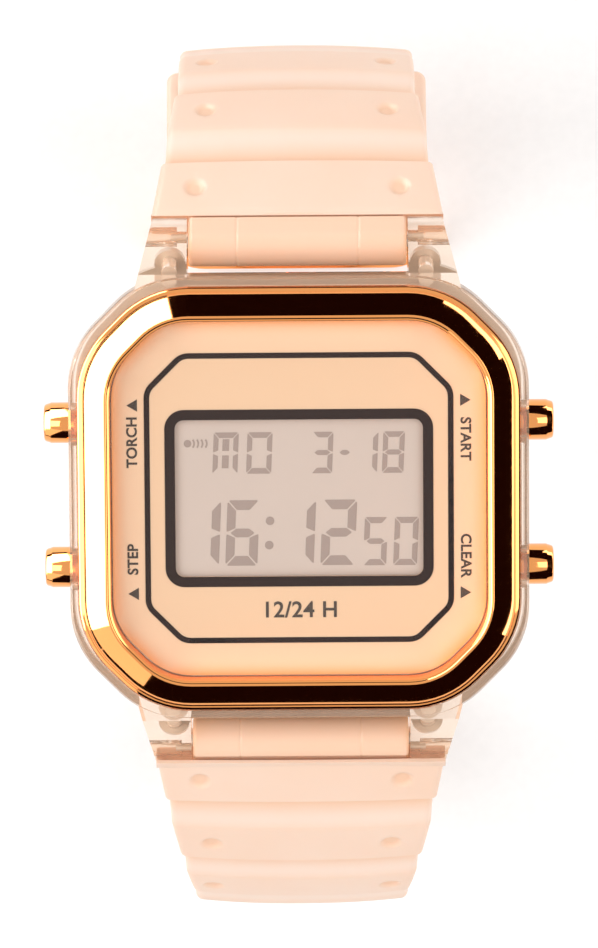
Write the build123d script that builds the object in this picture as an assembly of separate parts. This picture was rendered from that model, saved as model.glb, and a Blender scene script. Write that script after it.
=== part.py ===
from build123d import *
import math
import os

# A wrist watch with a digital display, in millimetres.
# The origin is the centre of the case back's outer face. +Z comes out of the dial,
# +Y points to twelve o'clock and +X to three o'clock.

# Clearances shared by all pieces
overrun = 1.0
seat_gap = 0.1
running_gap = 0.05
plastic_gap = 0.15

# Case: clear moulded body
case_width = 36.0
case_length = 34.9
case_corner_leg = 5.9
case_corner_bend = 7.4
case_foot_inset = 0.4
case_belly_height = 4.4
case_rim_inset = 0.3
case_rim_height = 6.7
case_ledge_height = 6.0
case_web = 0.8
case_side_wall = 3.0
case_end_wall = 3.25
cavity_corner_leg = 4.4
cavity_corner_bend = 1.5
dial_seat_width = 1.35
barrel_knee_share = 0.3

# Case back, its gasket and screws
back_thickness = 0.7
back_margin = 0.15
back_edge_chamfer = 0.2
back_ring_margin = 2.5
back_ring_width = 0.5
back_ring_depth = 0.08
gasket_width = 0.6
gasket_depth = 0.55
gasket_setback = 0.2
back_screw_side_room = 8.0
back_screw_setback = 0.55
back_ear_radius = 1.2
back_screw_head_radius = 0.85
back_screw_head_height = 0.45
back_screw_shank_radius = 0.6
back_screw_length = 3.6
back_screw_slot_width = 0.22
back_screw_slot_depth = 0.2

# Lugs and the strap's spring bars
lug_side_room = 5.1
lug_draw = 1.6
lug_tip_width = 2.7
lug_root_depth = 1.95
lug_slope = 35.6
lug_top_height = 6.26
lug_foot_reach = 0.95
lug_pocket_radius = 0.8
lug_pocket_wall = 0.8
bar_setback = 2.25
bar_height = 2.35
bar_eye_radius = 1.9
bar_radius = 0.75
bar_bore_radius = 0.5
bar_tip_radius = 0.45
bar_tip_reach = 1.3
bar_tip_hold = 1.6
bar_coil_radius = 0.42
bar_coil_bore = 0.22

# Bezel ring, lens, dial plate and its print
bezel_rim_side = 0.8
bezel_rim_end = 0.9
bezel_width = 2.55
bezel_corner_leg = 4.1
bezel_corner_bend = 5.0
bezel_lip_height = 0.95
bezel_lip_width = 0.3
bezel_lip_rise = 0.2
bezel_crest_height = 2.5
bezel_crest_inset = 2.0
bezel_bulge_share = 0.6
bezel_mouth_width = 0.43
bezel_mouth_depth = 0.3
lens_height = 1.9
lens_edge_chamfer = 0.35
dial_thickness = 0.25
print_thickness = 0.05
print_margin = 2.62
print_corner_leg = 2.84
print_corner_bend = 1.6
print_line = 0.43
window_side_margin = 5.0
window_end_margin = 7.85
window_bend = 0.7
window_frame = 0.8

# Display and circuit
display_margin = 1.2
display_height = 1.3
display_drop = 0.15
reflector_height = 0.2
contact_strip_width = 1.0
contact_strip_inset = 0.15
board_room = 1.05
board_thickness = 0.6
chip_radius = 2.4
chip_height = 0.6
chip_edge = 0.35
crystal_floor_gap = 0.2
crystal_length = 4.6
crystal_side_room = 3.1
lamp_width = 0.9
lamp_length = 1.6
lamp_height = 1.0
module_screw_side_room = 3.4
module_screw_end_room = 3.6
module_screw_radius = 0.5
module_screw_head_radius = 0.95
module_screw_head_height = 0.4

# Cell, contact plate and sounder
cell_side_room = 5.0
cell_top_gap = 0.1
cell_step = 1.1
cell_step_height = 0.25
cell_edge = 0.2
sounder_rim = 1.0
sounder_height = 0.1
sounder_disc_inset = 2.0
sounder_disc_height = 0.15
plate_lift = 0.1
plate_thickness = 0.15
plate_margin = 0.6
plate_cell_cover = 3.0
finger_width = 2.4
finger_over_button = 0.65
finger_side_room = 1.9
sounder_coil_side_room = 2.9
sounder_coil_radius = 0.7
sounder_coil_bore = 0.4

# Push buttons
button_end_room = 11.75
button_drop = 0.05
button_radius = 1.6
button_reach = 1.9
button_depth = 1.0
button_stroke = 0.8
button_round = 0.45
button_stem_radius = 0.6
button_stem_gap = 0.2
button_socket_floor = 1.1
button_pocket_radius = 1.25
button_pocket_bore = 0.75
button_pocket_depth = 1.8
spring_radius = 1.15
spring_bore = 0.8
clip_radius = 1.25
clip_thickness = 0.25
clip_groove_depth = 0.18
clip_mouth = 0.8
ring_radius = 1.0
ring_height = 0.5
notch_width = 3.6

# Strap halves, measured along the outer face from the shoulder
buckle_half_start = 1.5
tail_start = 0.4
strap_root_overhang = 0.1
strap_root_thickness = 3.0
strap_end_thickness = 2.4
strap_shoulder_gap = 0.3
strap_tab_gap = 0.1
strap_root_angle = 54.9
strap_side_angle = 90.0
rib_count = 5
rib_pitch = 8.85
rib_length = 5.05
rib_step = 0.5
rib_step_run = 0.15
dimple_radius = 0.8
dimple_depth = 0.4
dimple_root_setback = 3.4
dimple_side_setback = 2.3

buckle_half_mid_draw = 2.4
buckle_half_draw = 3.8
buckle_half_root_radius = 30.0
buckle_half_side_radius = 27.0
buckle_half_radius = 28.0
buckle_half_angle = 120.0
buckle_half_straight = 16.7
taper_mid_share = 0.55
taper_end_share = 0.88

tail_mid_draw = 3.0
tail_draw = 5.2
tail_root_radius = 46.0
tail_side_radius = 34.0
tail_flank_radius = 36.0
tail_flank_angle = 115.0
tail_radius = 27.5
tail_angle = 180.0
tail_straight = 17.0
tail_tip_flat = 5.6
hole_first = 48.0
hole_pitch = 6.3
hole_count = 7
hole_radius = 1.1

# Buckle and keeper
pin_radius = 0.6
pin_bore_radius = 0.42
pin_tip_radius = 0.35
pin_tip_reach = 1.1
pin_coil_bore = 0.2
knuckle_radius = 1.5
knuckle_slot = 2.8
knuckle_slot_depth = 1.9
buckle_end_draw = 0.8
buckle_floor_gap = 0.3
buckle_length = 12.0
buckle_bar = 1.9
buckle_arm = 1.9
buckle_thickness = 2.0
buckle_arm_gap = 0.2
buckle_corner = 3.0
buckle_eye_radius = 1.35
buckle_notch_depth = 0.5
buckle_notch_width = 2.8
buckle_edge = 0.35
tongue_width = 2.0
tongue_thickness = 1.0
tongue_eye_radius = 1.25
tongue_overhang = 0.2
keeper_length = 5.0
keeper_wall = 1.3
keeper_side_gap = 0.3
keeper_room = 2.9
keeper_round = 0.9

# Places worked out from the sizes above
corner_share = 2 - math.sqrt(2)
case_outline = (case_width, case_length, case_corner_leg, case_corner_bend)
cavity_outline = (
    case_width - 2 * case_side_wall,
    case_length - 2 * case_end_wall,
    cavity_corner_leg,
    cavity_corner_bend,
)
opening_outline = (
    case_width - 2 * (bezel_rim_side + bezel_width),
    case_length - 2 * (bezel_rim_end + bezel_width),
    bezel_corner_leg,
    bezel_corner_bend,
)
cavity_top = case_ledge_height - case_web
cavity_side = case_width / 2 - case_side_wall
cavity_end = case_length / 2 - case_end_wall
window_width = opening_outline[0] - 2 * window_side_margin
window_length = opening_outline[1] - 2 * window_end_margin
cell_radius = cavity_side - cell_side_room
crystal_offset = cavity_side - crystal_side_room
finger_offset = cavity_side - finger_side_room
sounder_coil_offset = cavity_side - sounder_coil_side_room
contact_strip_length = window_width - 2 * contact_strip_inset
bezel_crest = case_ledge_height + bezel_crest_height
dial_top = case_ledge_height + dial_thickness
lens_bottom = dial_top + print_thickness
display_top = case_ledge_height - display_drop
display_bottom = display_top - display_height
display_width = window_width + 2 * display_margin
display_length = window_length + 2 * display_margin
board_top = display_bottom - board_room
board_bottom = board_top - board_thickness
sounder_top = back_thickness + sounder_height + sounder_disc_height
plate_bottom = sounder_top + plate_lift
cell_bottom = plate_bottom + plate_thickness
cell_height = board_bottom - cell_bottom - cell_top_gap
crystal_radius = (board_bottom - cell_bottom - crystal_floor_gap) / 2
lug_root_reach = case_width / 2 - lug_side_room
lug_tip_reach = lug_root_reach - lug_draw
lug_gap = 2 * (lug_tip_reach - lug_tip_width)
bar_y = case_length / 2 + bar_setback
bar_half_length = lug_gap / 2 - seat_gap
back_screw_x = case_width / 2 - back_screw_side_room
back_screw_y = case_length / 2 - back_screw_setback
button_spacing = case_length - 2 * button_end_room
button_height = (back_thickness + case_ledge_height) / 2 - button_drop
finger_height = button_height - plate_bottom + finger_over_button
button_places = [(side, end) for side in (1, -1) for end in (1, -1)]
button_names = ("start", "reset", "light", "mode")
socket_floor = cavity_side + button_socket_floor
button_inner_face = case_width / 2 - button_depth
button_face = case_width / 2 + button_reach
stem_end = finger_offset + plate_thickness / 2 + button_stem_gap + button_stroke
clip_outer_face = cavity_side - running_gap
strap_root_width = 2 * (lug_tip_reach + strap_root_overhang)
buckle_half_mid_width = strap_root_width - buckle_half_mid_draw
buckle_half_width = strap_root_width - buckle_half_draw
buckle_end_width = buckle_half_width - buckle_end_draw
tail_mid_width = strap_root_width - tail_mid_draw
tail_width = strap_root_width - tail_draw
tail_tip_radius = (tail_width - tail_tip_flat) / 2
dimple_root_offset = strap_root_width / 2 - dimple_root_setback
dimple_side_offset = buckle_half_width / 2 - dimple_side_setback


def inset(outline, gap):
    """The outline drawn in by a gap that is the same all round, or out by a negative gap."""
    width, length, leg, bend = outline
    return (width - 2 * gap, length - 2 * gap, leg - corner_share * gap, bend - gap)


def octagon(outline):
    """A rectangle with cut corners and eight rounded bends."""
    width, length, leg, bend = outline
    half_x = width / 2
    half_y = length / 2
    quarter = [(half_x - leg, half_y), (half_x, half_y - leg)]
    right = quarter + [(x, -y) for x, y in reversed(quarter)]
    left = [(-x, y) for x, y in reversed(right)]
    flat = make_face(Polyline(right + left, close=True))
    return fillet(flat.vertices(), bend)


def slab(outline, bottom, top):
    return extrude(Pos(0, 0, bottom) * octagon(outline), top - bottom)


def stacked(sections):
    """A solid whose walls run straight from each outline to the next one above."""
    return loft([Pos(0, 0, height) * octagon(outline) for outline, height in sections], ruled=True)


def disc(radius, bottom, top, x=0, y=0):
    height = top - bottom
    return Pos(x, y, bottom + height / 2) * Cylinder(radius, height)


def block(width, length, bottom, top, x=0, y=0):
    height = top - bottom
    return Pos(x, y, bottom + height / 2) * Box(width, length, height)


def rod(radius, start, end, y=0, z=0):
    """A cylinder along X from start to end."""
    return Pos((start + end) / 2, y, z) * Rot(0, 90, 0) * Cylinder(radius, end - start)


def mirrored_pair(shape):
    return shape + shape.mirror(Plane.YZ)


def in_corners(x, y):
    return [(sign_x * x, sign_y * y) for sign_x in (1, -1) for sign_y in (1, -1)]


def rounded_block(width, length, bend, bottom, top):
    return extrude(Pos(0, 0, bottom) * RectangleRounded(width, length, bend), top - bottom)


# Case body

def barrel():
    foot = inset(case_outline, case_foot_inset)
    knee = inset(case_outline, case_foot_inset * barrel_knee_share)
    rim = inset(case_outline, case_rim_inset)
    shoulder = inset(case_outline, case_rim_inset * barrel_knee_share)
    knee_height = back_thickness + (case_belly_height - back_thickness) / 2
    sections = [
        (foot, back_thickness),
        (knee, knee_height),
        (case_outline, case_belly_height),
        (shoulder, case_ledge_height),
        (rim, case_rim_height),
    ]
    return stacked(sections)


def lug_tangent():
    """The point where the sloping top of a lug meets its round end."""
    angle = math.radians(lug_slope)
    return (bar_y + bar_eye_radius * math.sin(angle), bar_height + bar_eye_radius * math.cos(angle))


def lug():
    """One lug on the right of the twelve o'clock end."""
    tangent_y, tangent_z = lug_tangent()
    shoulder_y = tangent_y - (lug_top_height - tangent_z) / math.tan(math.radians(lug_slope))
    root_y = case_length / 2 - lug_root_depth
    foot_y = case_length / 2 + lug_foot_reach
    eye_bottom = bar_height - bar_eye_radius
    tip_y = bar_y + bar_eye_radius
    outline = Curve() + [
        Polyline((root_y, back_thickness), (root_y, lug_top_height), (shoulder_y, lug_top_height),
                 (tangent_y, tangent_z)),
        ThreePointArc((tangent_y, tangent_z), (tip_y, bar_height), (bar_y, eye_bottom)),
        Polyline((bar_y, eye_bottom), (foot_y, back_thickness), (root_y, back_thickness)),
    ]
    side = Plane.YZ * make_face(outline)
    inner = lug_gap / 2
    body = Pos(inner, 0, 0) * extrude(side, lug_root_reach - inner + overrun)
    slope = (lug_tip_reach - lug_root_reach) / (tip_y - root_y)
    far_y = tip_y + overrun
    far_x = lug_root_reach + slope * (far_y - root_y)
    near_y = root_y - overrun
    plan = make_face(Polyline(
        (inner - overrun, near_y),
        (lug_root_reach, near_y),
        (lug_root_reach, root_y),
        (far_x, far_y),
        (inner - overrun, far_y),
        close=True,
    ))
    return body & extrude(plan, case_rim_height + overrun)


def four_lugs():
    right = lug()
    far_pair = right + right.mirror(Plane.YZ)
    return far_pair + far_pair.mirror(Plane.XZ)


def gasket_ring(gap):
    """The gasket's ring, or its groove when drawn wider by a gap."""
    inner = inset(cavity_outline, gap - gasket_setback)
    outer = inset(cavity_outline, -gap - gasket_setback - gasket_width)
    top = back_thickness + gasket_depth + gap
    return slab(outer, back_thickness, top) - slab(inner, back_thickness - overrun, top + overrun)


def make_case_body():
    body = barrel() + four_lugs()
    recess = inset(opening_outline, -bezel_width - seat_gap)
    body -= slab(recess, case_ledge_height, case_rim_height + overrun)
    seat = inset(opening_outline, dial_seat_width)
    body -= slab(seat, cavity_top - overrun, case_ledge_height + overrun)
    body -= slab(cavity_outline, back_thickness - overrun, cavity_top)
    body -= gasket_ring(running_gap)
    for x, y in in_corners(back_screw_x, back_screw_y):
        depth = back_screw_length + running_gap
        radius = back_screw_shank_radius + running_gap / 2
        body -= disc(radius, back_thickness - overrun, depth, x, y)
    for side, end in button_places:
        body -= place_button(button_socket(), side, end)
    hole_end = lug_gap / 2 + bar_tip_reach + running_gap
    pocket_start = lug_gap / 2 + lug_pocket_wall
    pocket_end = lug_root_reach + overrun
    for y in (bar_y, -bar_y):
        body -= rod(bar_tip_radius + running_gap, -hole_end, hole_end, y, bar_height)
        body -= mirrored_pair(rod(lug_pocket_radius, pocket_start, pocket_end, y, bar_height))
    return body


def make_case_back():
    outline = inset(case_outline, case_foot_inset + back_margin)
    plate = slab(outline, 0, back_thickness)
    lower_edges = plate.faces().sort_by(Axis.Z)[0].edges()
    plate = chamfer(lower_edges, back_edge_chamfer)
    ring_radius_outer = cell_radius + back_ring_margin
    ring = disc(ring_radius_outer, -overrun, back_ring_depth)
    ring -= disc(ring_radius_outer - back_ring_width, -overrun, back_ring_depth)
    plate -= ring
    for x, y in in_corners(back_screw_x, back_screw_y):
        plate += disc(back_ear_radius, 0, back_thickness, x, y)
    for x, y in in_corners(back_screw_x, back_screw_y):
        head_top = back_screw_head_height + running_gap
        plate -= disc(back_screw_head_radius + running_gap, -overrun, head_top, x, y)
        plate -= disc(back_screw_shank_radius + running_gap, 0, back_thickness + overrun, x, y)
    return plate


def make_back_gasket():
    return gasket_ring(0)


def make_back_screws():
    screws = []
    for x, y in in_corners(back_screw_x, back_screw_y):
        head_bottom = running_gap
        head_top = head_bottom + back_screw_head_height
        screw = disc(back_screw_head_radius, head_bottom, head_top, x, y)
        screw += disc(back_screw_shank_radius, head_bottom, back_screw_length, x, y)
        slot_top = head_bottom + back_screw_slot_depth
        length = 2 * back_screw_head_radius
        screw -= block(length, back_screw_slot_width, head_bottom, slot_top, x, y)
        screw -= block(back_screw_slot_width, length, head_bottom, slot_top, x, y)
        screws.append(screw)
    return screws


# Bezel, lens and dial

def make_bezel_ring():
    outer = inset(opening_outline, -bezel_width)
    lip_top = case_ledge_height + bezel_lip_height
    facet_foot = lip_top + bezel_lip_rise
    middle_inset = (bezel_lip_width + bezel_crest_inset) / 2
    middle_height = facet_foot + (bezel_crest - facet_foot) * bezel_bulge_share
    sections = [
        (outer, case_ledge_height),
        (outer, lip_top),
        (inset(outer, bezel_lip_width), facet_foot),
        (inset(outer, middle_inset), middle_height),
        (inset(outer, bezel_crest_inset), bezel_crest),
    ]
    ring = stacked(sections)
    ring -= slab(opening_outline, case_ledge_height - overrun, bezel_crest + overrun)
    mouth = inset(opening_outline, -bezel_mouth_width)
    ring -= stacked([(opening_outline, bezel_crest - bezel_mouth_depth), (mouth, bezel_crest)])
    return ring


def make_lens():
    lens = slab(inset(opening_outline, seat_gap), lens_bottom, lens_bottom + lens_height)
    top_edges = lens.faces().sort_by(Axis.Z)[-1].edges()
    return chamfer(top_edges, lens_edge_chamfer)


def make_dial_plate():
    plate = slab(inset(opening_outline, seat_gap), case_ledge_height, dial_top)
    window = rounded_block(window_width, window_length, window_bend, case_ledge_height - overrun,
                           dial_top + overrun)
    return plate - window


def make_dial_print():
    """The octagonal line and the display's border, printed on the dial plate."""
    width, length = opening_outline[:2]
    line_outer = (width - 2 * print_margin, length - 2 * print_margin, print_corner_leg,
                  print_corner_bend)
    line_inner = inset(line_outer, print_line)
    line = slab(line_outer, dial_top, lens_bottom) - slab(line_inner, 0, lens_bottom + overrun)
    border = rounded_block(window_width + 2 * window_frame, window_length + 2 * window_frame,
                           window_bend + window_frame, dial_top, lens_bottom)
    border -= rounded_block(window_width, window_length, window_bend, 0, lens_bottom + overrun)
    return [line, border]


# Display and circuit

def button_notches():
    """Room beside the module for the ends of the buttons."""
    depth = case_width / 2
    notch = block(depth, notch_width, 0, cavity_top, finger_offset - plate_thickness + depth / 2)
    return [place_button(Pos(0, 0, -button_height) * notch, side, end) for side, end in button_places]


def without_notches(body):
    for notch in button_notches():
        body -= notch
    return body


def module_screw_places():
    x = cavity_side - module_screw_side_room
    y = cavity_end - module_screw_end_room
    return [(x, y), (-x, -y)]


def with_screw_bores(body, bottom, top):
    for x, y in module_screw_places():
        body -= disc(module_screw_radius + running_gap, bottom - overrun, top + overrun, x, y)
    return body


def make_display_glass():
    return rounded_block(display_width, display_length, window_bend / 2, display_bottom, display_top)


def make_display_reflector():
    length = display_length - 2 * (contact_strip_width + display_margin / 2)
    return block(contact_strip_length, length, display_bottom - reflector_height, display_bottom)


def make_contact_strips():
    y = display_length / 2 - display_margin / 4 - contact_strip_width / 2
    return [
        block(contact_strip_length, contact_strip_width, board_top, display_bottom, 0, sign * y)
        for sign in (1, -1)
    ]


def make_module_frame():
    """The moulded frame that holds the display on the circuit board."""
    top = cavity_top - running_gap
    frame = slab(inset(cavity_outline, plastic_gap), board_top, top)
    frame -= block(display_width + plastic_gap, display_length + plastic_gap, board_top - overrun,
                   top + overrun)
    frame -= block(lamp_width + plastic_gap, lamp_length + plastic_gap, board_top - overrun,
                   top + overrun, lamp_x())
    frame = without_notches(frame)
    return with_screw_bores(frame, board_top, top)


def make_cell_frame():
    """The moulded frame round the cell, under the circuit board."""
    frame = slab(inset(cavity_outline, plastic_gap), cell_bottom, board_bottom)
    low = cell_bottom - overrun
    high = board_bottom + overrun
    frame -= disc(cell_radius + seat_gap, low, high)
    frame -= block(2 * crystal_radius + plastic_gap, crystal_length + plastic_gap, low, high,
                   crystal_offset)
    frame -= disc(sounder_coil_radius + plastic_gap, low, high, -sounder_coil_offset)
    frame = without_notches(frame)
    frame = with_screw_bores(frame, cell_bottom, board_bottom)
    for x, y in module_screw_places():
        head = module_screw_head_radius + running_gap
        frame -= disc(head, low, cell_bottom + module_screw_head_height, x, y)
    return frame


def make_circuit_board():
    board = slab(inset(cavity_outline, plastic_gap + running_gap), board_bottom, board_top)
    board = without_notches(board)
    return with_screw_bores(board, board_bottom, board_top)


def make_module_screws():
    screws = []
    for x, y in module_screw_places():
        head_top = cell_bottom + module_screw_head_height
        screw = disc(module_screw_head_radius, cell_bottom, head_top, x, y)
        screw += disc(module_screw_radius, cell_bottom, cavity_top - plastic_gap, x, y)
        screws.append(screw)
    return screws


def make_chip_cap():
    cap = disc(chip_radius, board_top, board_top + chip_height)
    return chamfer(cap.edges().sort_by(Axis.Z)[-1], chip_edge)


def make_clock_crystal():
    height = board_bottom - crystal_radius
    return Pos(crystal_offset, 0, height) * Rot(90, 0, 0) * Cylinder(crystal_radius, crystal_length)


def lamp_x():
    return -(display_width + plastic_gap + lamp_width) / 2


def make_lamp():
    return block(lamp_width, lamp_length, board_top, board_top + lamp_height, lamp_x())


def make_cell():
    rim_top = cell_bottom + cell_height - cell_step_height
    can = disc(cell_radius, cell_bottom, rim_top)
    can = chamfer(can.edges(), cell_edge)
    return can + disc(cell_radius - cell_step, cell_bottom, cell_bottom + cell_height)


def make_contact_plate():
    """The sprung plate that holds the cell and touches the board when a button is pressed."""
    plate = slab(inset(cavity_outline, plate_margin), plate_bottom, cell_bottom)
    low = plate_bottom - overrun
    high = cell_bottom + overrun
    plate -= disc(cell_radius - plate_cell_cover, low, high)
    plate -= disc(sounder_coil_radius + plastic_gap, low, high, -sounder_coil_offset)
    for x, y in module_screw_places():
        plate -= disc(module_screw_head_radius + running_gap, low, high, x, y)
    for side, end in button_places:
        x = side * finger_offset
        y = end * button_spacing / 2
        plate += block(plate_thickness, finger_width, plate_bottom, plate_bottom + finger_height, x, y)
    return plate


def make_sounder_disc():
    brass_top = back_thickness + sounder_height
    plate = disc(cell_radius + sounder_rim, back_thickness, brass_top)
    return plate + disc(cell_radius - sounder_disc_inset, brass_top, sounder_top)


def make_sounder_spring():
    bottom = back_thickness
    tube = disc(sounder_coil_radius, bottom, board_bottom, -sounder_coil_offset)
    return tube - disc(sounder_coil_bore, bottom - overrun, board_bottom + overrun, -sounder_coil_offset)


# Buttons, drawn along +X and moved to their four places

def place_button(shape, side, end):
    placed = Pos(0, end * button_spacing / 2, button_height) * shape
    return placed if side > 0 else placed.mirror(Plane.YZ)


def button_socket():
    socket = rod(button_radius + plastic_gap, socket_floor, case_width / 2 + overrun)
    socket += rod(button_stem_radius + running_gap, cavity_side - overrun, socket_floor + overrun)
    return socket + rod(ring_radius + running_gap, cavity_side - overrun, cavity_side + ring_height)


def make_button():
    cap = rod(button_radius, button_inner_face, button_face)
    cap = fillet(cap.edges().group_by(Axis.X)[-1], button_round)
    pocket_end = button_inner_face + button_pocket_depth
    pocket = rod(button_pocket_radius, button_inner_face, pocket_end)
    cap -= pocket - rod(button_pocket_bore, button_inner_face, pocket_end)
    stem = rod(button_stem_radius, stem_end, pocket_end + running_gap)
    groove = rod(button_radius, clip_outer_face - clip_thickness - running_gap, clip_outer_face)
    groove -= rod(button_stem_radius - clip_groove_depth, 0, case_width)
    post = rod(button_pocket_bore, button_inner_face, pocket_end + running_gap)
    return cap + post + stem - groove


def make_button_clip():
    clip = rod(clip_radius, clip_outer_face - clip_thickness, clip_outer_face)
    clip -= rod(button_stem_radius - clip_groove_depth + running_gap, 0, case_width)
    mouth = Pos(cavity_side, -clip_radius, 0) * Box(2 * clip_radius, 2 * clip_radius, clip_mouth)
    return clip - mouth


def make_button_spring():
    end = button_inner_face + button_pocket_depth
    return rod(spring_radius, socket_floor, end) - rod(spring_bore, 0, case_width)


def make_button_ring():
    outer = rod(ring_radius, cavity_side, cavity_side + ring_height)
    return outer - rod(button_stem_radius + running_gap / 2, 0, case_width)


# Strap halves, drawn on the twelve o'clock side and mirrored for the other

class StrapLine:
    """The outer face of a strap half seen from the side: arcs end to end, then a straight."""

    def __init__(self, start, arcs, straight):
        tangent_y, tangent_z = lug_tangent()
        angle = math.radians(lug_slope)
        y = tangent_y + start * math.cos(angle)
        z = tangent_z - start * math.sin(angle)
        self.legs = []
        self.length = 0
        for radius, end_degrees in arcs:
            end_angle = math.radians(end_degrees)
            length = radius * (end_angle - angle)
            self.legs.append((self.length, length, y, z, angle, 1 / radius))
            y, z = self.on_leg(self.legs[-1], length, 0)
            self.length += length
            angle = end_angle
        self.legs.append((self.length, straight, y, z, angle, 0))
        self.length += straight

    @staticmethod
    def on_leg(leg, run, depth):
        _, _, start_y, start_z, start_angle, curve = leg
        angle = start_angle + curve * run
        if curve:
            y = start_y + (math.sin(angle) - math.sin(start_angle)) / curve
            z = start_z - (math.cos(start_angle) - math.cos(angle)) / curve
        else:
            y = start_y + run * math.cos(angle)
            z = start_z - run * math.sin(angle)
        return (y - depth * math.sin(angle), z - depth * math.cos(angle))

    def leg_at(self, distance):
        for leg in self.legs:
            if distance <= leg[0] + leg[1]:
                return leg
        return self.legs[-1]

    def point(self, distance, depth=0):
        leg = self.leg_at(distance)
        return self.on_leg(leg, distance - leg[0], depth)

    def angle(self, distance):
        leg = self.leg_at(distance)
        return leg[4] + leg[5] * (distance - leg[0])

    def inner_depth(self, distance):
        share = distance / self.length
        return strap_root_thickness + share * (strap_end_thickness - strap_root_thickness)

    def run(self, start, end, depth_at):
        """Edges from one distance to another at the depth that depth_at gives."""
        joints = [leg[0] for leg in self.legs[1:]]
        low, high = sorted((start, end))
        stops = [low] + [joint for joint in joints if low < joint < high] + [high]
        edges = []
        for near, far in zip(stops, stops[1:]):
            middle = (near + far) / 2
            points = [self.point(stop, depth_at(stop)) for stop in (near, middle, far)]
            if self.leg_at(middle)[5]:
                edges.append(ThreePointArc(*points))
            else:
                edges.append(Line(points[0], points[2]))
        return edges

    def frame(self, distance, depth=0):
        """A plane on the strap: X across it, Y along it and Z out of it."""
        y, z = self.point(distance, depth)
        angle = self.angle(distance)
        outward = (0, math.sin(angle), math.cos(angle))
        return Plane(origin=(0, y, z), x_dir=(1, 0, 0), z_dir=outward)


buckle_line = StrapLine(
    buckle_half_start,
    [
        (buckle_half_root_radius, strap_root_angle),
        (buckle_half_side_radius, strap_side_angle),
        (buckle_half_radius, buckle_half_angle),
    ],
    buckle_half_straight,
)
tail_line = StrapLine(
    tail_start,
    [
        (tail_root_radius, strap_root_angle),
        (tail_side_radius, strap_side_angle),
        (tail_flank_radius, tail_flank_angle),
        (tail_radius, tail_angle),
    ],
    tail_straight,
)


def strap_outline(line):
    """The side view of a strap half: ribs and hollows outside, a smooth face inside."""
    edges = []
    for rib in range(rib_count):
        start = rib * rib_pitch
        end = start + rib_length
        foot = end + rib_step_run
        following = start + rib_pitch
        rise = rib_step / (following - foot)
        edges += line.run(start, end, lambda stop: 0)
        edges.append(Line(line.point(end), line.point(foot, rib_step)))
        edges += line.run(foot, following, lambda stop: (following - stop) * rise)
    edges += line.run(rib_count * rib_pitch, line.length, lambda stop: 0)
    end_depth = line.inner_depth(line.length)
    edges.append(Line(line.point(line.length), line.point(line.length, end_depth)))
    edges += line.run(line.length, 0, line.inner_depth)
    bar_centre = (bar_y, bar_height)
    edges.append(Line(line.point(0, line.inner_depth(0)), bar_centre))
    edges.append(Line(bar_centre, lug_tangent()))
    edges.append(Line(lug_tangent(), line.point(0)))
    return make_face(Curve() + edges)


def across(side_face, width):
    """A side view extruded to a width that is centred on the strap."""
    return Pos(-width / 2, 0, 0) * extrude(Plane.YZ * side_face, width)


def strap_body(line, mid_width, end_width):
    outline = strap_outline(line)
    body = across(outline, strap_root_width)
    shoulder = rod(bar_eye_radius + strap_shoulder_gap, -strap_root_width, strap_root_width, bar_y,
                   bar_height)
    tab_width = lug_gap - 2 * strap_tab_gap
    body -= shoulder - block(tab_width, strap_root_width, -case_width, case_width, 0, bar_y)
    body += rod(bar_eye_radius, -tab_width / 2, tab_width / 2, bar_y, bar_height)
    body -= rod(bar_radius + running_gap, -tab_width, tab_width, bar_y, bar_height)
    body -= strap_trimmings(line, mid_width, end_width)
    return body


def strap_trimmings(line, mid_width, end_width):
    """What the taper leaves over on both sides of a strap half."""
    start_y, start_z = line.point(0)
    waist = line.legs[2]
    waist_y, waist_z = waist[2:4]
    mid_y = start_y + (waist_y - start_y) * taper_mid_share
    end_y = start_y + (waist_y - start_y) * taper_end_share
    far = strap_root_width
    plan = Curve() + [
        ThreePointArc(
            (strap_root_width / 2, start_y), (mid_width / 2, mid_y), (end_width / 2, end_y)),
        Polyline((end_width / 2, end_y), (end_width / 2, waist_y + overrun), (far, waist_y + overrun),
                 (far, start_y), (strap_root_width / 2, start_y)),
    ]
    upper = extrude(Pos(0, 0, waist_z) * make_face(plan), start_z + overrun - waist_z)
    depth = case_width + tail_radius
    side = far - end_width / 2
    lower = block(side, 4 * depth, waist_z - depth, waist_z, end_width / 2 + side / 2)
    return mirrored_pair(upper + lower)


def dimples(line):
    pits = []
    for rib in range(rib_count):
        x = dimple_root_offset if rib == 0 else dimple_side_offset
        plane = line.frame(rib * rib_pitch + rib_length / 2)
        pit = Cylinder(dimple_radius, 2 * dimple_depth)
        pits += [plane * Pos(sign * x, 0, 0) * pit for sign in (1, -1)]
    return pits


def make_strap_upper():
    body = strap_body(buckle_line, buckle_half_mid_width, buckle_half_width)
    for pit in dimples(buckle_line):
        body -= pit
    pin_y, pin_z = pin_place()
    body += rod(knuckle_radius, -buckle_end_width / 2, buckle_end_width / 2, pin_y, pin_z)
    side = buckle_half_width
    plane = pin_plane(buckle_half_angle)
    trim_start = -buckle_eye_radius - buckle_edge
    for sign in (1, -1):
        x = sign * (buckle_end_width / 2 + side / 2)
        body -= plane * Pos(x, trim_start + side / 2, 0) * Box(side, side, side)
    slot_start = -knuckle_slot_depth
    body -= plane * Pos(0, slot_start + side / 2, 0) * Box(knuckle_slot, side, side)
    return body - rod(pin_radius + running_gap, -side, side, pin_y, pin_z)


def make_strap_lower():
    body = strap_body(tail_line, tail_mid_width, tail_width)
    for pit in dimples(tail_line):
        body -= pit
    for hole in range(hole_count):
        plane = tail_line.frame(hole_first + hole * hole_pitch)
        body -= plane * Cylinder(hole_radius, 4 * strap_root_thickness)
    body -= tail_tip_trimmings()
    return body.mirror(Plane.XZ)


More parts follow.
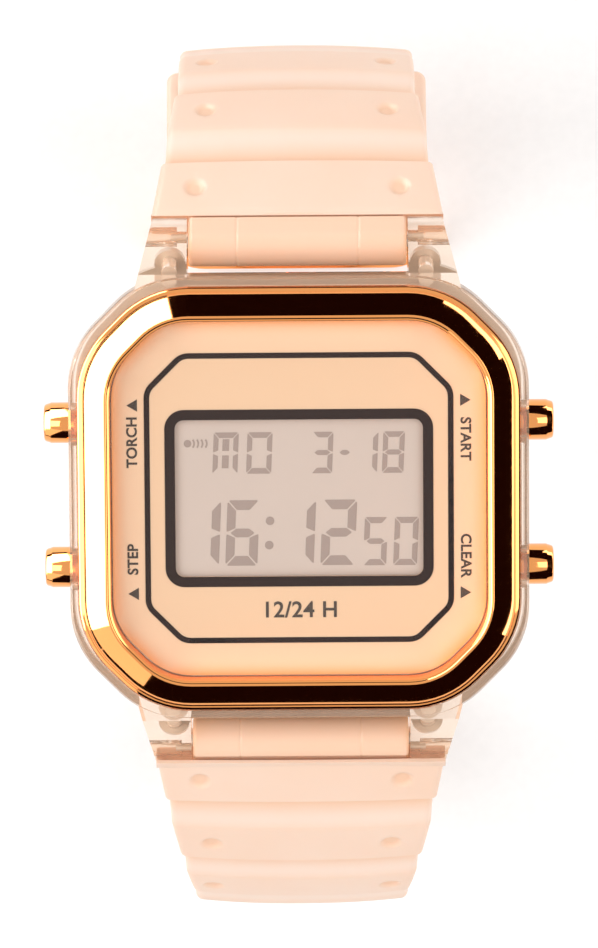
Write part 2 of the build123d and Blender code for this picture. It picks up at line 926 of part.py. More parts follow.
def tail_tip_trimmings():
    """The two corners that the tail's rounded tip leaves over."""
    plane = tail_line.frame(tail_line.length)
    size = tail_width
    tip = Pos(0, -size / 2, 0) * Rectangle(size + overrun, size + 2 * overrun)
    rounded = Pos(0, -size, 0) * Rectangle(size, 2 * size)
    rounded = fillet(rounded.vertices().group_by(Axis.Y)[-1], tail_tip_radius)
    corners = extrude(tip - rounded, 2 * strap_root_thickness, both=True)
    return plane * corners


# Buckle and keeper

def pin_place():
    return buckle_line.point(buckle_line.length, strap_end_thickness / 2)


def pin_plane(degrees):
    """A plane at the buckle's pin: X along the pin, Y to the free end and Z out of the strap."""
    y, z = pin_place()
    angle = math.radians(degrees)
    return Plane(origin=(0, y, z), x_dir=(1, 0, 0), z_dir=(0, math.sin(angle), math.cos(angle)))


def buckle_rest_angle():
    """The frame's direction when its tip lies just above the level of the tail's flat end."""
    pin_z = pin_place()[1]
    floor = tail_line.point(tail_line.length)[1]
    length = buckle_length + tongue_overhang
    height = buckle_thickness / 2
    drop = pin_z - floor - buckle_floor_gap
    hanging_share = min(1, drop / math.hypot(length, height))
    return 180 - math.degrees(math.asin(hanging_share) - math.atan2(height, length))


def make_buckle_frame():
    inner_width = buckle_end_width + 2 * buckle_arm_gap
    width = inner_width + 2 * buckle_arm
    sheet = Pos(0, buckle_length / 2) * Rectangle(width, buckle_length)
    sheet = fillet(sheet.vertices().group_by(Axis.Y)[-1], buckle_corner)
    opening_length = buckle_length - buckle_bar
    opening = Pos(0, opening_length / 2 - overrun / 2) * Rectangle(
        inner_width, opening_length + overrun)
    opening = fillet(opening.vertices().group_by(Axis.Y)[-1], buckle_corner - buckle_arm / 2)
    half = buckle_thickness / 2
    frame = extrude(sheet - opening, half, both=True)
    faces = frame.faces().sort_by(Axis.Z)
    frame = chamfer(faces[0].edges() + faces[-1].edges(), buckle_edge)
    for sign in (1, -1):
        x = sign * (inner_width + buckle_arm) / 2
        frame += Pos(x, 0, 0) * Rot(0, 90, 0) * Cylinder(buckle_eye_radius, buckle_arm)
    notch_y = buckle_length - buckle_bar / 2
    notch = Box(buckle_notch_width, 2 * buckle_bar, 2 * buckle_notch_depth)
    frame -= Pos(0, notch_y, half) * notch
    reach = inner_width / 2 + pin_tip_reach + running_gap
    frame -= rod(pin_tip_radius + running_gap, -reach, reach)
    return pin_plane(buckle_rest_angle()) * frame


def make_buckle_tongue():
    """The tongue's eye turns on the pin and its tip lies in the notch of the frame."""
    rest_height = buckle_thickness / 2 - buckle_notch_depth + running_gap
    bar_start = buckle_length - buckle_bar - running_gap
    half = tongue_thickness / 2
    end = buckle_length + tongue_overhang
    slope = (rest_height + half) / bar_start
    outline = Polyline(
        (0, -half),
        (bar_start, slope * bar_start - half),
        (end, slope * bar_start - half),
        (end, slope * bar_start + half / 2),
        (bar_start, slope * bar_start + half),
        (0, half),
        close=True,
    )
    tongue = across(make_face(outline), tongue_width)
    tongue += rod(tongue_eye_radius, -tongue_width / 2, tongue_width / 2)
    tongue -= rod(pin_radius + running_gap, -tongue_width, tongue_width)
    return pin_plane(buckle_rest_angle()) * tongue


def keeper_place():
    return buckle_line.length - buckle_half_straight / 2


def make_strap_keeper():
    inner_width = buckle_half_width + 2 * keeper_side_gap
    low = -buckle_line.inner_depth(keeper_place()) - keeper_side_gap
    high = keeper_room
    middle = (low + high) / 2
    hole = Pos(0, middle) * Rectangle(inner_width, high - low)
    wall = Pos(0, middle) * RectangleRounded(inner_width + 2 * keeper_wall,
                                             high - low + 2 * keeper_wall, keeper_round)
    loop = extrude(Plane.XZ * (wall - hole), keeper_length / 2, both=True)
    return buckle_line.frame(keeper_place()) * loop


# Spring bars

def spring_bar(radius, bore, half_length, y, z):
    return rod(radius, -half_length, half_length, y, z) - rod(bore, -2 * half_length,
                                                              2 * half_length, y, z)


def bar_tips(radius, half_length, reach, hold, y, z):
    tip = rod(radius, half_length - hold, half_length + reach, y, z)
    return [tip, tip.mirror(Plane.YZ)]


def bar_coil(radius, bore, half_length, hold, y, z):
    end = half_length - hold
    return rod(radius, -end, end, y, z) - rod(bore, -2 * end, 2 * end, y, z)


def lug_bar_tube(y):
    return spring_bar(bar_radius, bar_bore_radius, bar_half_length, y, bar_height)


def make_lug_bar_tips():
    tips = []
    for y in (bar_y, -bar_y):
        tips += bar_tips(bar_tip_radius, bar_half_length, bar_tip_reach + seat_gap - running_gap,
                         bar_tip_hold, y, bar_height)
    return tips


def make_lug_bar_coils():
    return [
        bar_coil(bar_coil_radius, bar_coil_bore, bar_half_length, bar_tip_hold, y, bar_height)
        for y in (bar_y, -bar_y)
    ]


def pin_half_length():
    return buckle_end_width / 2 + buckle_arm_gap / 2


def make_pin_tube():
    y, z = pin_place()
    return spring_bar(pin_radius, pin_bore_radius, pin_half_length(), y, z)


def make_pin_tips():
    y, z = pin_place()
    reach = buckle_arm_gap / 2 + pin_tip_reach
    return bar_tips(pin_tip_radius, pin_half_length(), reach, bar_tip_hold, y, z)


def make_pin_coil():
    y, z = pin_place()
    return bar_coil(pin_tip_radius, pin_coil_bore, pin_half_length(), bar_tip_hold, y, z)


def write(name, shape):
    pieces = shape if isinstance(shape, list) else [shape]
    solids = [solid for piece in pieces for solid in piece.solids()]
    body = solids[0] if len(solids) == 1 else Compound(children=solids)
    export_step(body, os.path.join("parts", name + ".step"))


def main():
    os.makedirs("parts", exist_ok=True)
    write("case_body", make_case_body())
    write("case_back", make_case_back())
    write("back_gasket", make_back_gasket())
    write("back_screws", make_back_screws())
    write("bezel_ring", make_bezel_ring())
    write("lens", make_lens())
    write("dial_plate", make_dial_plate())
    write("dial_print", make_dial_print())
    write("display_glass", make_display_glass())
    write("display_reflector", make_display_reflector())
    write("contact_strips", make_contact_strips())
    write("module_frame", make_module_frame())
    write("cell_frame", make_cell_frame())
    write("circuit_board", make_circuit_board())
    write("module_screws", make_module_screws())
    write("chip_cap", make_chip_cap())
    write("clock_crystal", make_clock_crystal())
    write("lamp", make_lamp())
    write("cell", make_cell())
    write("contact_plate", make_contact_plate())
    write("sounder_disc", make_sounder_disc())
    write("sounder_spring", make_sounder_spring())
    rings = []
    for name, (side, end) in zip(button_names, button_places):
        write("button_" + name, place_button(make_button(), side, end))
        write("button_clip_" + name, place_button(make_button_clip(), side, end))
        write("button_spring_" + name, place_button(make_button_spring(), side, end))
        rings.append(place_button(make_button_ring(), side, end))
    write("button_rings", rings)
    write("lug_bar_upper", lug_bar_tube(bar_y))
    write("lug_bar_lower", lug_bar_tube(-bar_y))
    write("lug_bar_tips", make_lug_bar_tips())
    write("lug_bar_coils", make_lug_bar_coils())
    write("strap_upper", make_strap_upper())
    write("strap_lower", make_strap_lower())
    write("buckle_pin", make_pin_tube())
    write("buckle_pin_tips", make_pin_tips())
    write("buckle_pin_coil", make_pin_coil())
    write("buckle_frame", make_buckle_frame())
    write("buckle_tongue", make_buckle_tongue())
    write("strap_keeper", make_strap_keeper())


if __name__ == "__main__":
    main()
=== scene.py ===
import math

import bmesh
import bpy
from bpy.props import FloatProperty, FloatVectorProperty, PointerProperty
from bpy.types import Operator, Panel, PropertyGroup
from mathutils import Matrix, Vector


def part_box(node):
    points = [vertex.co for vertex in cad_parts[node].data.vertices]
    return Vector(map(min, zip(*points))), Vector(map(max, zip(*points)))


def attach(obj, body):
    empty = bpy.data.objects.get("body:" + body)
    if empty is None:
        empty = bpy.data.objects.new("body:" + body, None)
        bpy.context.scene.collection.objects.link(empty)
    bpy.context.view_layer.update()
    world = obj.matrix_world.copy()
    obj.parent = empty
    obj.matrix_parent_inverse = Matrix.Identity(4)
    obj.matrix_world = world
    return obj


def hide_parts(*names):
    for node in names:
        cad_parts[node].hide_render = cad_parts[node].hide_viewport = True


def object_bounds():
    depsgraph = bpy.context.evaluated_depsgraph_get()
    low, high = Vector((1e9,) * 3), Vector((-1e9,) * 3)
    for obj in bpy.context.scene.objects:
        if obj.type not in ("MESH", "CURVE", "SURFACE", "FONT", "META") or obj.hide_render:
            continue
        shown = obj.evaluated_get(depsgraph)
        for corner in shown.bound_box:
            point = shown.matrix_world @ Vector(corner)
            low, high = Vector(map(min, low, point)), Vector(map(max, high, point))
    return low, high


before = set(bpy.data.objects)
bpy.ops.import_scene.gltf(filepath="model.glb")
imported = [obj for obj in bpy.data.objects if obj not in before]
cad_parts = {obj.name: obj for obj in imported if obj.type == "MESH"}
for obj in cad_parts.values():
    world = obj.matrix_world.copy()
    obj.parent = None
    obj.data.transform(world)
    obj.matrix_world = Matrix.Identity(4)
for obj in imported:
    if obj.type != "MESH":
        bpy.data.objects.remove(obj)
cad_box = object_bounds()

bl_info = {
    "name": "Digital Wrist Watch",
    "version": (1, 0, 0),
    "blender": (4, 5, 0),
    "location": "3D View > Sidebar > Watch",
    "description": "Builds the looks of a digital wrist watch around its CAD frame",
    "category": "Object",
}

MM = 0.001
RIBS = 5
DIMPLE_SIDES = (8.0 * MM, 7.2 * MM)  # from the middle line: the first rib's, the other ribs'
TAB_SEAM = 4.75 * MM  # from the middle line
# Painted shade on the tabs between the lugs.
TAB_PAINTED_SHADE = 0.5  # on the scale of painted_shade_and_highlight
DISPLAY_HALVES = (9.67 * MM, 6.13 * MM)  # half sizes of the display inside its border
PRINT_DEPTH = 0.02 * MM


# Properties

def length(name, description, millimetres):
    return FloatProperty(name=name, description=description, default=millimetres * MM,
                         unit="LENGTH", precision=5)


def turn(name, description, degrees):
    return FloatProperty(name=name, description=description, default=math.radians(degrees),
                         subtype="ANGLE")


def colour(name, description, *channels):
    """A colour property whose default is given on the usual scale of 0 to 255."""
    shares = [channel / 255 for channel in channels]
    linear = [share / 12.92 if share < 0.04045 else ((share + 0.055) / 1.055) ** 2.4
              for share in shares]
    return FloatVectorProperty(name=name, description=description, subtype="COLOR", size=3,
                               min=0, max=1, default=linear)


class WatchCase(PropertyGroup):
    ledge_height: length("Ledge height", "Height of the ledge that carries the bezel", 6.0)
    opening_width: length("Opening width", "Width of the bezel's opening", 29.3)
    opening_length: length("Opening length", "Length of the bezel's opening", 28.0)
    corner_leg: length("Corner leg", "Length cut from each side at the opening's corners", 4.1)
    corner_bend: length("Corner bend", "Radius of the opening's eight bends", 5.0)
    bezel_width: length("Bezel width", "Width of the bezel ring", 2.55)
    lens_bottom: length("Lens underside", "Height of the lens's lower face", 6.3)
    lens_height: length("Lens thickness", "Thickness of the lens", 1.9)
    lens_gap: length("Lens gap", "Gap between the lens and the bezel ring", 0.1)
    lens_edge: length("Lens edge", "Width of the lens's bevelled edge", 0.35)


class WatchButtons(PropertyGroup):
    spacing: length("Spacing", "Distance between the two buttons of one side", 11.4)
    height: length("Height", "Height of the buttons' centre line", 3.3)
    radius: length("Radius", "Radius of a button", 1.6)
    face: length("Reach", "Distance from the middle of the watch to a button's face", 19.9)
    root: length("Root", "Distance from the middle of the watch to a button's inner end", 17.0)
    waist: length("Waist", "Radius at the button's small tapered outer end", 1.42)
    taper: length("Taper", "Length of the tapered outer end", 0.5)


class WatchStrap(PropertyGroup):
    bar_y: length("Bar distance", "Distance of the spring bars from the middle of the watch", 19.7)
    bar_z: length("Bar height", "Height of the spring bars", 2.35)
    eye_radius: length("Eye radius", "Radius of the strap's eye round the spring bar", 1.9)
    slope: turn("Lug slope", "Slope of the lugs' upper faces", 35.6)
    buckle_start: length("Buckle half start", "Length from the lug's bend to its shoulder", 1.5)
    tail_start: length("Tail start", "Length from the lug's bend to the tail's shoulder", 0.4)
    root_width: length("Root width", "Width of the strap at the shoulder", 22.8)
    root_thickness: length("Root thickness", "Thickness of the strap at the shoulder", 3.0)
    end_thickness: length("End thickness", "Thickness of the strap at its ends", 2.4)
    tab_width: length("Tab width", "Width of the tab between the lugs", 17.0)
    shoulder_radius: length("Shoulder radius", "Radius of the hollow that clears the lugs", 2.2)
    edge: length("Edge radius", "Radius of the strap's long edges", 0.5)
    rib_pitch: length("Rib pitch", "Distance from one rib to the next", 8.85)
    rib_length: length("Rib length", "Length of a rib's flat", 5.05)
    rib_step: length("Rib step", "Depth of the hollow after a rib", 0.5)
    rib_notch: length("Rib notch", "How far the long edges step in after a rib", 0.28)
    crown: length("Crown", "How much lower the ribs' ends are than their middle", 0.45)
    dimple_radius: length("Dimple radius", "Radius of the moulded dimples", 0.88)
    dimple_depth: length("Dimple depth", "Depth of the moulded dimples", 0.28)
    buckle_width: length("Buckle half width", "Width of the half with the buckle", 19.0)
    buckle_mid_width: length("Buckle half waist", "Width of that half on its taper", 20.4)
    tail_width: length("Tail width", "Width of the half with the holes", 17.6)
    tail_mid_width: length("Tail waist", "Width of that half on its taper", 19.8)
    hole_radius: length("Hole radius", "Radius of the adjusting holes", 1.1)
    hole_first: length("First hole", "Distance from the shoulder to the first hole", 48.0)
    hole_pitch: length("Hole pitch", "Distance from one hole to the next", 6.3)
    tip_radius: length("Tip radius", "Radius of the tail's two corners", 6.0)


class WatchBuckle(PropertyGroup):
    end_width: length("Knuckle width", "Width of the strap's end between the buckle's arms", 18.2)
    knuckle_radius: length("Knuckle radius", "Radius of the strap's end round the pin", 1.5)
    slot_width: length("Slot width", "Width of the slot for the tongue", 2.8)
    slot_depth: length("Slot depth", "Depth of that slot from the pin", 1.9)
    arm_gap: length("Arm gap", "Gap between the strap's end and an arm", 0.2)
    arm: length("Arm width", "Width of the buckle's arms and bar", 1.9)
    frame_length: length("Frame length", "Length of the buckle from the pin", 12.0)
    thickness: length("Thickness", "Thickness of the buckle's frame", 2.0)
    corner: length("Corner", "Radius of the frame's outer corners", 3.0)
    eye_radius: length("Eye radius", "Radius of the arms' ends round the pin", 1.35)
    edge: length("Edge", "Rounding of the frame's edges", 0.45)
    floor_gap: length("Rest gap", "Height of the resting buckle over the tail's end", 0.3)
    tongue_width: length("Tongue width", "Width of the tongue", 2.0)
    tongue_thickness: length("Tongue thickness", "Thickness of the tongue", 1.0)
    tongue_eye: length("Tongue eye", "Radius of the tongue's eye", 1.25)
    overhang: length("Overhang", "How far the tongue's tip passes the frame", 0.2)
    notch_width: length("Notch width", "Width of the notch that holds the tongue's tip", 2.8)
    notch_depth: length("Notch depth", "Depth of that notch", 0.5)
    keeper_length: length("Keeper length", "Length of the free loop along the strap", 5.0)
    keeper_wall: length("Keeper wall", "Thickness of the free loop", 1.3)
    keeper_gap: length("Keeper gap", "Gap between the loop and the strap", 0.3)
    keeper_room: length("Keeper room", "Room over the strap inside the loop", 2.9)
    keeper_round: length("Keeper corner", "Radius of the loop's corners", 0.9)


class WatchColours(PropertyGroup):
    strap: colour("Strap", "Colour of the strap's resin", 240, 208, 186)
    groove: colour("Strap shade", "Deeper tone in the strap's resin", 239, 198, 170)
    # Painted highlight: band is the light painted on each hollow's rise before the next rib.
    band: colour("Strap bands", "Colour of the pale bands beside the strap's ribs", 243, 220, 205)
    # Painted shade: hollow is the shade painted in the hollows after the steps, in the dimples and
    # on the tabs.
    hollow: colour("Strap hollows", "Colour of the strap's hollows and dimples", 240, 184, 140)
    gold: colour("Rose gold", "Colour of the metallised parts", 253, 168, 96)
    clear: colour("Clear resin", "Faint tint of the case", 253, 243, 232)
    milk: colour("Clear resin haze", "Colour of the haze in the case's resin", 250, 214, 186)
    dial: colour("Dial", "Colour of the dial's film", 230, 190, 152)
    # Painted light: a paler tone near the ring, where the ring's wall shades the dial.
    dial_painted_light: colour("Dial rim", "Paler tone of the dial beside the ring", 255, 214, 178)
    # Painted reflection of the gold ring along the dial's edge.
    painted_reflection: colour("Dial edge", "Colour of the ring's glow along the dial's edge", 255, 160, 62)
    ink: colour("Ink", "Colour of the dial's print", 42, 22, 14)
    display: colour("Display", "Colour of the display's ground", 197, 178, 166)
    # Also the colour of the painted shadow along the display window's border.
    segment_and_edge_shade: colour("Segments", "Colour of the display's segments", 158, 138, 129)
    steel: colour("Steel", "Colour of the steel pieces", 222, 218, 214)
    floor: colour("Floor", "Colour of the studio floor", 255, 255, 255)


# Shader tools

class Value:
    """A socket of a shader that takes part in Python arithmetic."""

    def __init__(self, finish, socket):
        self.finish = finish
        self.socket = socket

    def math(self, operation, *terms):
        return self.finish.node("ShaderNodeMath", {"operation": operation}, dict(enumerate(terms)))

    def __add__(self, other):
        return self.math("ADD", self, other)

    def __sub__(self, other):
        return self.math("SUBTRACT", self, other)

    def __mul__(self, other):
        return self.math("MULTIPLY", self, other)

    def clipped(self):
        return self.math("MINIMUM", self.math("MAXIMUM", self, 0), 1)

    def fading(self, width):
        """1 where a distance to an edge is 0, down to 0 at that width inside the edge."""
        return (self * (1 / width) + 1).clipped()


class Finish:
    """A procedural material and the tools to wire it."""

    def __init__(self, name, **shader):
        self.material = bpy.data.materials.new(name)
        self.material.use_nodes = True
        self.tree = self.material.node_tree
        self.shader = self.tree.nodes["Principled BSDF"]
        self.surface = Value(self, self.shader.outputs[0])
        self.set(**shader)

    def set(self, **sockets):
        """Sets sockets of the main shader, which are named in lower case."""
        for name, value in sockets.items():
            title = name.replace("_", " ").title().replace("Ior", "IOR")
            self.feed(self.shader.inputs[title], value)
        return self

    def feed(self, socket, value):
        if isinstance(value, Value):
            self.tree.links.new(value.socket, socket)
        elif socket.type == "RGBA":
            socket.default_value = (*value[:3], 1)
        else:
            socket.default_value = value

    def node(self, kind, settings=None, sockets=None, output=0):
        """An output of a new node of that type, with its settings and socket values."""
        made = self.tree.nodes.new(kind)
        for name, value in (settings or {}).items():
            setattr(made, name, value)
        for key, value in (sockets or {}).items():
            self.feed(made.inputs[key], value)
        return Value(self, made.outputs[output])

    def place(self, stretch=(1, 1, 1)):
        """Where a point is on the piece, in metres, stretched along each axis."""
        point = self.node("ShaderNodeTexCoord", output="Object")
        return self.node("ShaderNodeVectorMath", {"operation": "MULTIPLY"}, {0: point, 1: stretch})

    def noise(self, size, detail=2, stretch=(1, 1, 1), roughness=0.5):
        """Noise from 0 to 1 whose patches have that size in millimetres."""
        sockets = {"Vector": self.place(stretch), "Scale": 1 / (size * MM), "Detail": detail,
                   "Roughness": roughness}
        return self.node("ShaderNodeTexNoise", None, sockets)

    def sides(self):
        """How far a point is from the watch's two middle lines."""
        parts = [self.node("ShaderNodeSeparateXYZ", None, {0: self.place()}, axis)
                 for axis in ("X", "Y")]
        return [part.math("ABSOLUTE", part) for part in parts]

    def largest(self, first, *others):
        for other in others:
            first = first.math("MAXIMUM", first, other)
        return first

    def ramp(self, value, *stops):
        """A grey between two stops (place, shade)."""
        made = self.node("ShaderNodeValToRGB", None, {"Fac": value})
        elements = made.socket.node.color_ramp.elements
        for element, (place, shade) in zip((elements[0], elements[-1]), stops):
            element.position = place
            element.color = (shade, shade, shade, 1)
        return made

    def mix(self, share, first, second):
        return self.node("ShaderNodeMix", {"data_type": "RGBA"},
                         {0: share, 6: first, 7: second}, 2)

    def bump(self, height, strength, depth):
        """A bump whose height of 1 stands that many millimetres out."""
        sockets = {"Height": height, "Strength": strength, "Distance": depth * MM}
        return self.set(normal=self.node("ShaderNodeBump", None, sockets))

    def blend(self, share, first, second):
        """The surface becomes a mix of two shaders."""
        made = self.node("ShaderNodeMixShader", None, {0: share, 1: first, 2: second})
        self.feed(self.tree.nodes["Material Output"].inputs["Surface"], made)
        return made

    def let_light_through(self, surface, tint):
        """What lies behind the surface is lit as if the light went straight through it."""
        clear = self.node("ShaderNodeBsdfTransparent", None, {"Color": tint})
        for kind in ("Is Shadow Ray", "Is Diffuse Ray"):
            surface = self.blend(self.node("ShaderNodeLightPath", output=kind), surface, clear)

    def put(self, *objects):
        for piece in objects:
            piece.data.materials.clear()
            piece.data.materials.append(self.material)


def shaded(tone, factor):
    return tuple(min(1, channel * factor) for channel in tone)


def resin_finish(colours, name="strap_resin"):
    """Satin strap resin: a fine moulded grain, faint flow marks, and painted shade and painted
    highlight from its tone attribute.
    """
    skin = Finish(name, specular_ior_level=0.35, subsurface_weight=0.12,
                  subsurface_radius=(1.0, 0.6, 0.4), subsurface_scale=0.6 * MM)
    drift = skin.noise(9, 3)
    grain = skin.noise(0.12, 3)
    base = skin.mix(skin.ramp(drift, (0.35, 0), (0.75, 0.4)), colours.strap, colours.groove)
    # The tone attribute paints shade in the hollow colour where it is above 0, and a highlight in
    # the band colour where it is below 0.
    tone = skin.node("ShaderNodeAttribute", {"attribute_name": "tone"}, output="Fac")
    base = skin.mix((tone * 0.75).clipped(), base, colours.hollow)
    skin.set(base_color=skin.mix((tone * -0.55).clipped(), base, colours.band),
             roughness=grain * 0.12 + drift * 0.08 + 0.36)
    return skin.bump(grain + drift * 0.4, 0.25, 0.02)


def gold_finish(colours, name="rose_gold", scratch=0.05):
    """Polished metallised surface with faint wiping marks."""
    plate = Finish(name, metallic=1, coat_weight=0.2, coat_roughness=0.03)
    wear = plate.noise(1.6, 4, (1, 4, 1))
    haze = plate.noise(6, 2)
    plate.set(base_color=plate.mix(haze * 0.5, colours.gold, shaded(colours.gold, 0.9)),
              roughness=plate.ramp(wear, (0.4, 0.035), (0.8, 0.035 + scratch)))
    return plate.bump(wear, 0.04, 0.01)


def clear_finish(colours):
    """Clear moulded resin with a faint warm tint."""
    glass = Finish("clear_resin", transmission_weight=1, ior=1.49)
    flow = glass.noise(2.5, 2)
    glass.set(base_color=glass.mix(flow, colours.clear, shaded(colours.clear, 0.97)),
              roughness=flow * 0.05 + 0.01)
    glass.bump(flow, 0.05, 0.03)
    milk = glass.node("ShaderNodeBsdfDiffuse", None, {"Color": colours.milk})
    glass.let_light_through(glass.blend(flow * 0.08 + 0.1, glass.surface, milk), colours.clear)
    return glass


def lens_finish():
    """A thin polished window: clear straight through, with the gloss of its face."""
    pane = Finish("lens_window")
    haze = pane.noise(4, 3)
    gloss = pane.node("ShaderNodeBsdfGlossy", None, {"Roughness": haze * 0.02 + 0.01})
    clear = pane.node("ShaderNodeBsdfTransparent")
    edge = pane.node("ShaderNodeLayerWeight", None, {"Blend": 0.5}, "Facing")
    pane.blend(edge.math("POWER", edge, 5) * 0.9 + 0.03, clear, gloss)
    pane.tree.nodes.remove(pane.shader)
    return pane


def rim_finish():
    """The lens's side faces, which pass the gold of the ring on to the dial."""
    rim = Finish("lens_rim", base_color=(1, 0.86, 0.7), alpha=0.06, specular_ior_level=0.1)
    haze = rim.noise(1, 2)
    return rim.set(roughness=haze * 0.1 + 0.3)


def dial_finish(colours, case):
    """Satin printed film with a fine sparkle, a painted reflection of the gold ring along its
    edge, and paler painted light beside the ring.
    """
    film = Finish("dial_film", specular_ior_level=0.3)
    grain = film.noise(0.08, 2)
    cloud = film.noise(5, 2)
    x, y = film.sides()
    corner = case.opening_width / 2 + case.opening_length / 2 - case.corner_leg
    edge = film.largest(x - case.opening_width / 2, y - case.opening_length / 2,
                        (x + y - corner) * math.sqrt(0.5))
    # Painted reflection of the gold ring, strongest at the dial's edge.
    painted_reflection = edge.fading(1.4 * MM)
    tone = film.mix(cloud * 0.3, colours.dial, shaded(colours.dial, 0.96))
    # Painted light beside the ring, where the ring's wall shades the dial.
    tone = film.mix(edge.fading(3.4 * MM), tone, colours.dial_painted_light)
    film.set(base_color=film.mix(painted_reflection * painted_reflection * 0.9, tone, colours.painted_reflection),
             roughness=grain * 0.15 + 0.4)
    return film.bump(grain, 0.05, 0.01)


def ink_finish(colours, name, tone):
    """Screen print with a fine grain."""
    film = Finish(name, specular_ior_level=0.15)
    grain = film.noise(0.1, 2)
    film.set(base_color=film.mix(grain * 0.5, tone, shaded(tone, 0.85)),
             roughness=grain * 0.2 + 0.4)
    return film.bump(grain, 0.05, 0.005)


def display_finish(colours):
    """Matt polariser over a grey reflector, with a painted shadow along the border of its window.
    """
    pane = Finish("display_polariser", specular_ior_level=0.4)
    grain = pane.noise(0.06, 2)
    cloud = pane.noise(7, 2)
    tone = pane.mix(cloud, colours.display, shaded(colours.display, 1.08))
    edge = pane.largest(*[side - half for side, half in zip(pane.sides(), DISPLAY_HALVES)])
    # Painted shadow along the border of the display window, darker towards its edges, in the
    # segments' colour.
    shade = edge.fading(0.7 * MM)
    tone = pane.mix(shade * shade * 0.5, tone, shaded(colours.segment_and_edge_shade, 1.08))
    pane.set(base_color=pane.mix(grain * 0.3, tone, shaded(colours.display, 0.9)),
             roughness=grain * 0.2 + 0.35)
    return pane.bump(grain, 0.04, 0.005)


def steel_finish(colours, name="brushed_steel", tone=1.0, stretch=(1, 14, 1)):
    """Steel with fine brush lines along one axis."""
    metal = Finish(name, metallic=0.6)
    brush = metal.noise(0.9, 5, stretch, 0.7)
    pale = shaded(colours.steel, tone)
    metal.set(base_color=metal.mix(brush * 0.6, pale, shaded(colours.steel, 0.7 * tone)),
              roughness=brush * 0.25 + 0.2)
    return metal.bump(brush, 0.12, 0.02)


def plain_finish(name, tone, roughness, grain_size=0.15, depth=0.02, **shader):
    """Moulded or coated surface with its own fine grain."""
    skin = Finish(name, **shader)
    grain = skin.noise(grain_size, 3)
    cloud = skin.noise(grain_size * 25, 2)
    skin.set(base_color=skin.mix(cloud * 0.7 + grain * 0.3, tone, shaded(tone, 0.82)),
             roughness=grain * 0.2 + roughness)
    return skin.bump(grain, 0.2, depth)


def board_finish():
    """Green laminate with copper tracks under the lacquer."""
    board = Finish("board", specular_ior_level=0.5)
    track = board.node("ShaderNodeTexWave", {"wave_type": "BANDS", "bands_direction": "DIAGONAL"},
                       {"Vector": board.place(), "Scale": 450, "Distortion": 3, "Detail": 2},
                       "Fac")
    weave = board.noise(0.2, 2)
    line = board.ramp(track, (0.72, 0), (0.8, 1))
    board.set(base_color=board.mix(line, (0.01, 0.09, 0.04), (0.05, 0.22, 0.08)),
              roughness=weave * 0.15 + 0.3)
    return board.bump(line, 0.3, 0.03)


def rubber_strip_finish():
    """Layered conductive rubber: dark stripes between pink walls."""
    strip = Finish("contact_rubber")
    layer = strip.node("ShaderNodeTexWave", {"wave_type": "BANDS", "bands_direction": "X"},
                       {"Vector": strip.place(), "Scale": 1500, "Distortion": 0.3}, "Fac")
    strip.set(base_color=strip.mix(layer, (0.55, 0.2, 0.2), (0.05, 0.03, 0.03)),
              roughness=layer * 0.1 + 0.5)
    return strip.bump(layer, 0.1, 0.01)


# Geometry tools

def linked(name, data):
    """A new object in the scene."""
    made = bpy.data.objects.new(name, data)
    bpy.context.scene.collection.objects.link(made)
    return made


def mesh_of(name, verts, faces):
    mesh = bpy.data.meshes.new(name)
    mesh.from_pydata([tuple(vert) for vert in verts], [], faces)
    return mesh


def softened(mesh, degrees=40):
    """Shades a mesh smooth apart from its sharp edges."""
    mesh.shade_smooth()
    mesh.set_sharp_from_angle(angle=math.radians(degrees))


def piece(name, skin, body, slot, finish, replaces=(), smooth=40, painted_light_tones=()):
    """A mesh that rides on a body; its painted shade and highlight tones, if any, are for its
    first vertices.
    """
    verts, faces = skin[:2]
    mesh = mesh_of(name, verts, faces)
    if painted_light_tones:
        # The tone attribute carries the painted shade and highlight of the strap's resin.
        layer = mesh.attributes.new("tone", "FLOAT", "POINT")
        layer.data.foreach_set("value", list(painted_light_tones) + [0.0] * (len(verts) - len(painted_light_tones)))
    tidy = bmesh.new()
    tidy.from_mesh(mesh)
    bmesh.ops.remove_doubles(tidy, verts=tidy.verts, dist=1e-7)
    bmesh.ops.recalc_face_normals(tidy, faces=tidy.faces)
    tidy.to_mesh(mesh)
    tidy.free()
    softened(mesh, smooth)
    made = linked(name, mesh)
    finish.put(made)
    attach(made, body)
    if replaces:
        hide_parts(*replaces)
    return made


def bevelled(made, width, segments, angle):
    """Rounds the piece's edges that are sharper than an angle in degrees."""
    edge = made.modifiers.new("edge", "BEVEL")
    edge.width = width
    edge.segments = segments
    edge.limit_method = "ANGLE"
    edge.angle_limit = math.radians(angle)
    edge.harden_normals = True


def lofted(rings, looped=False):
    """A skin over closed rings of equal count, capped or joined end to end."""
    count = len(rings[0])
    verts = [point for ring in rings for point in ring]
    faces = []
    for low in range(len(rings) if looped else len(rings) - 1):
        high = (low + 1) % len(rings)
        for step in range(count):
            following = (step + 1) % count
            faces.append((low * count + step, low * count + following, high * count + following,
                          high * count + step))
    if not looped:
        faces.append(tuple(range(count))[::-1])
        faces.append(tuple(range((len(rings) - 1) * count, len(rings) * count)))
    return verts, faces


def merged(*skins):
    """Several skins in one mesh."""
    verts = []
    faces = []
    for more_verts, more_faces, *_ in skins:
        start = len(verts)
        verts += more_verts
        faces += [tuple(start + index for index in face) for face in more_faces]
    return verts, faces


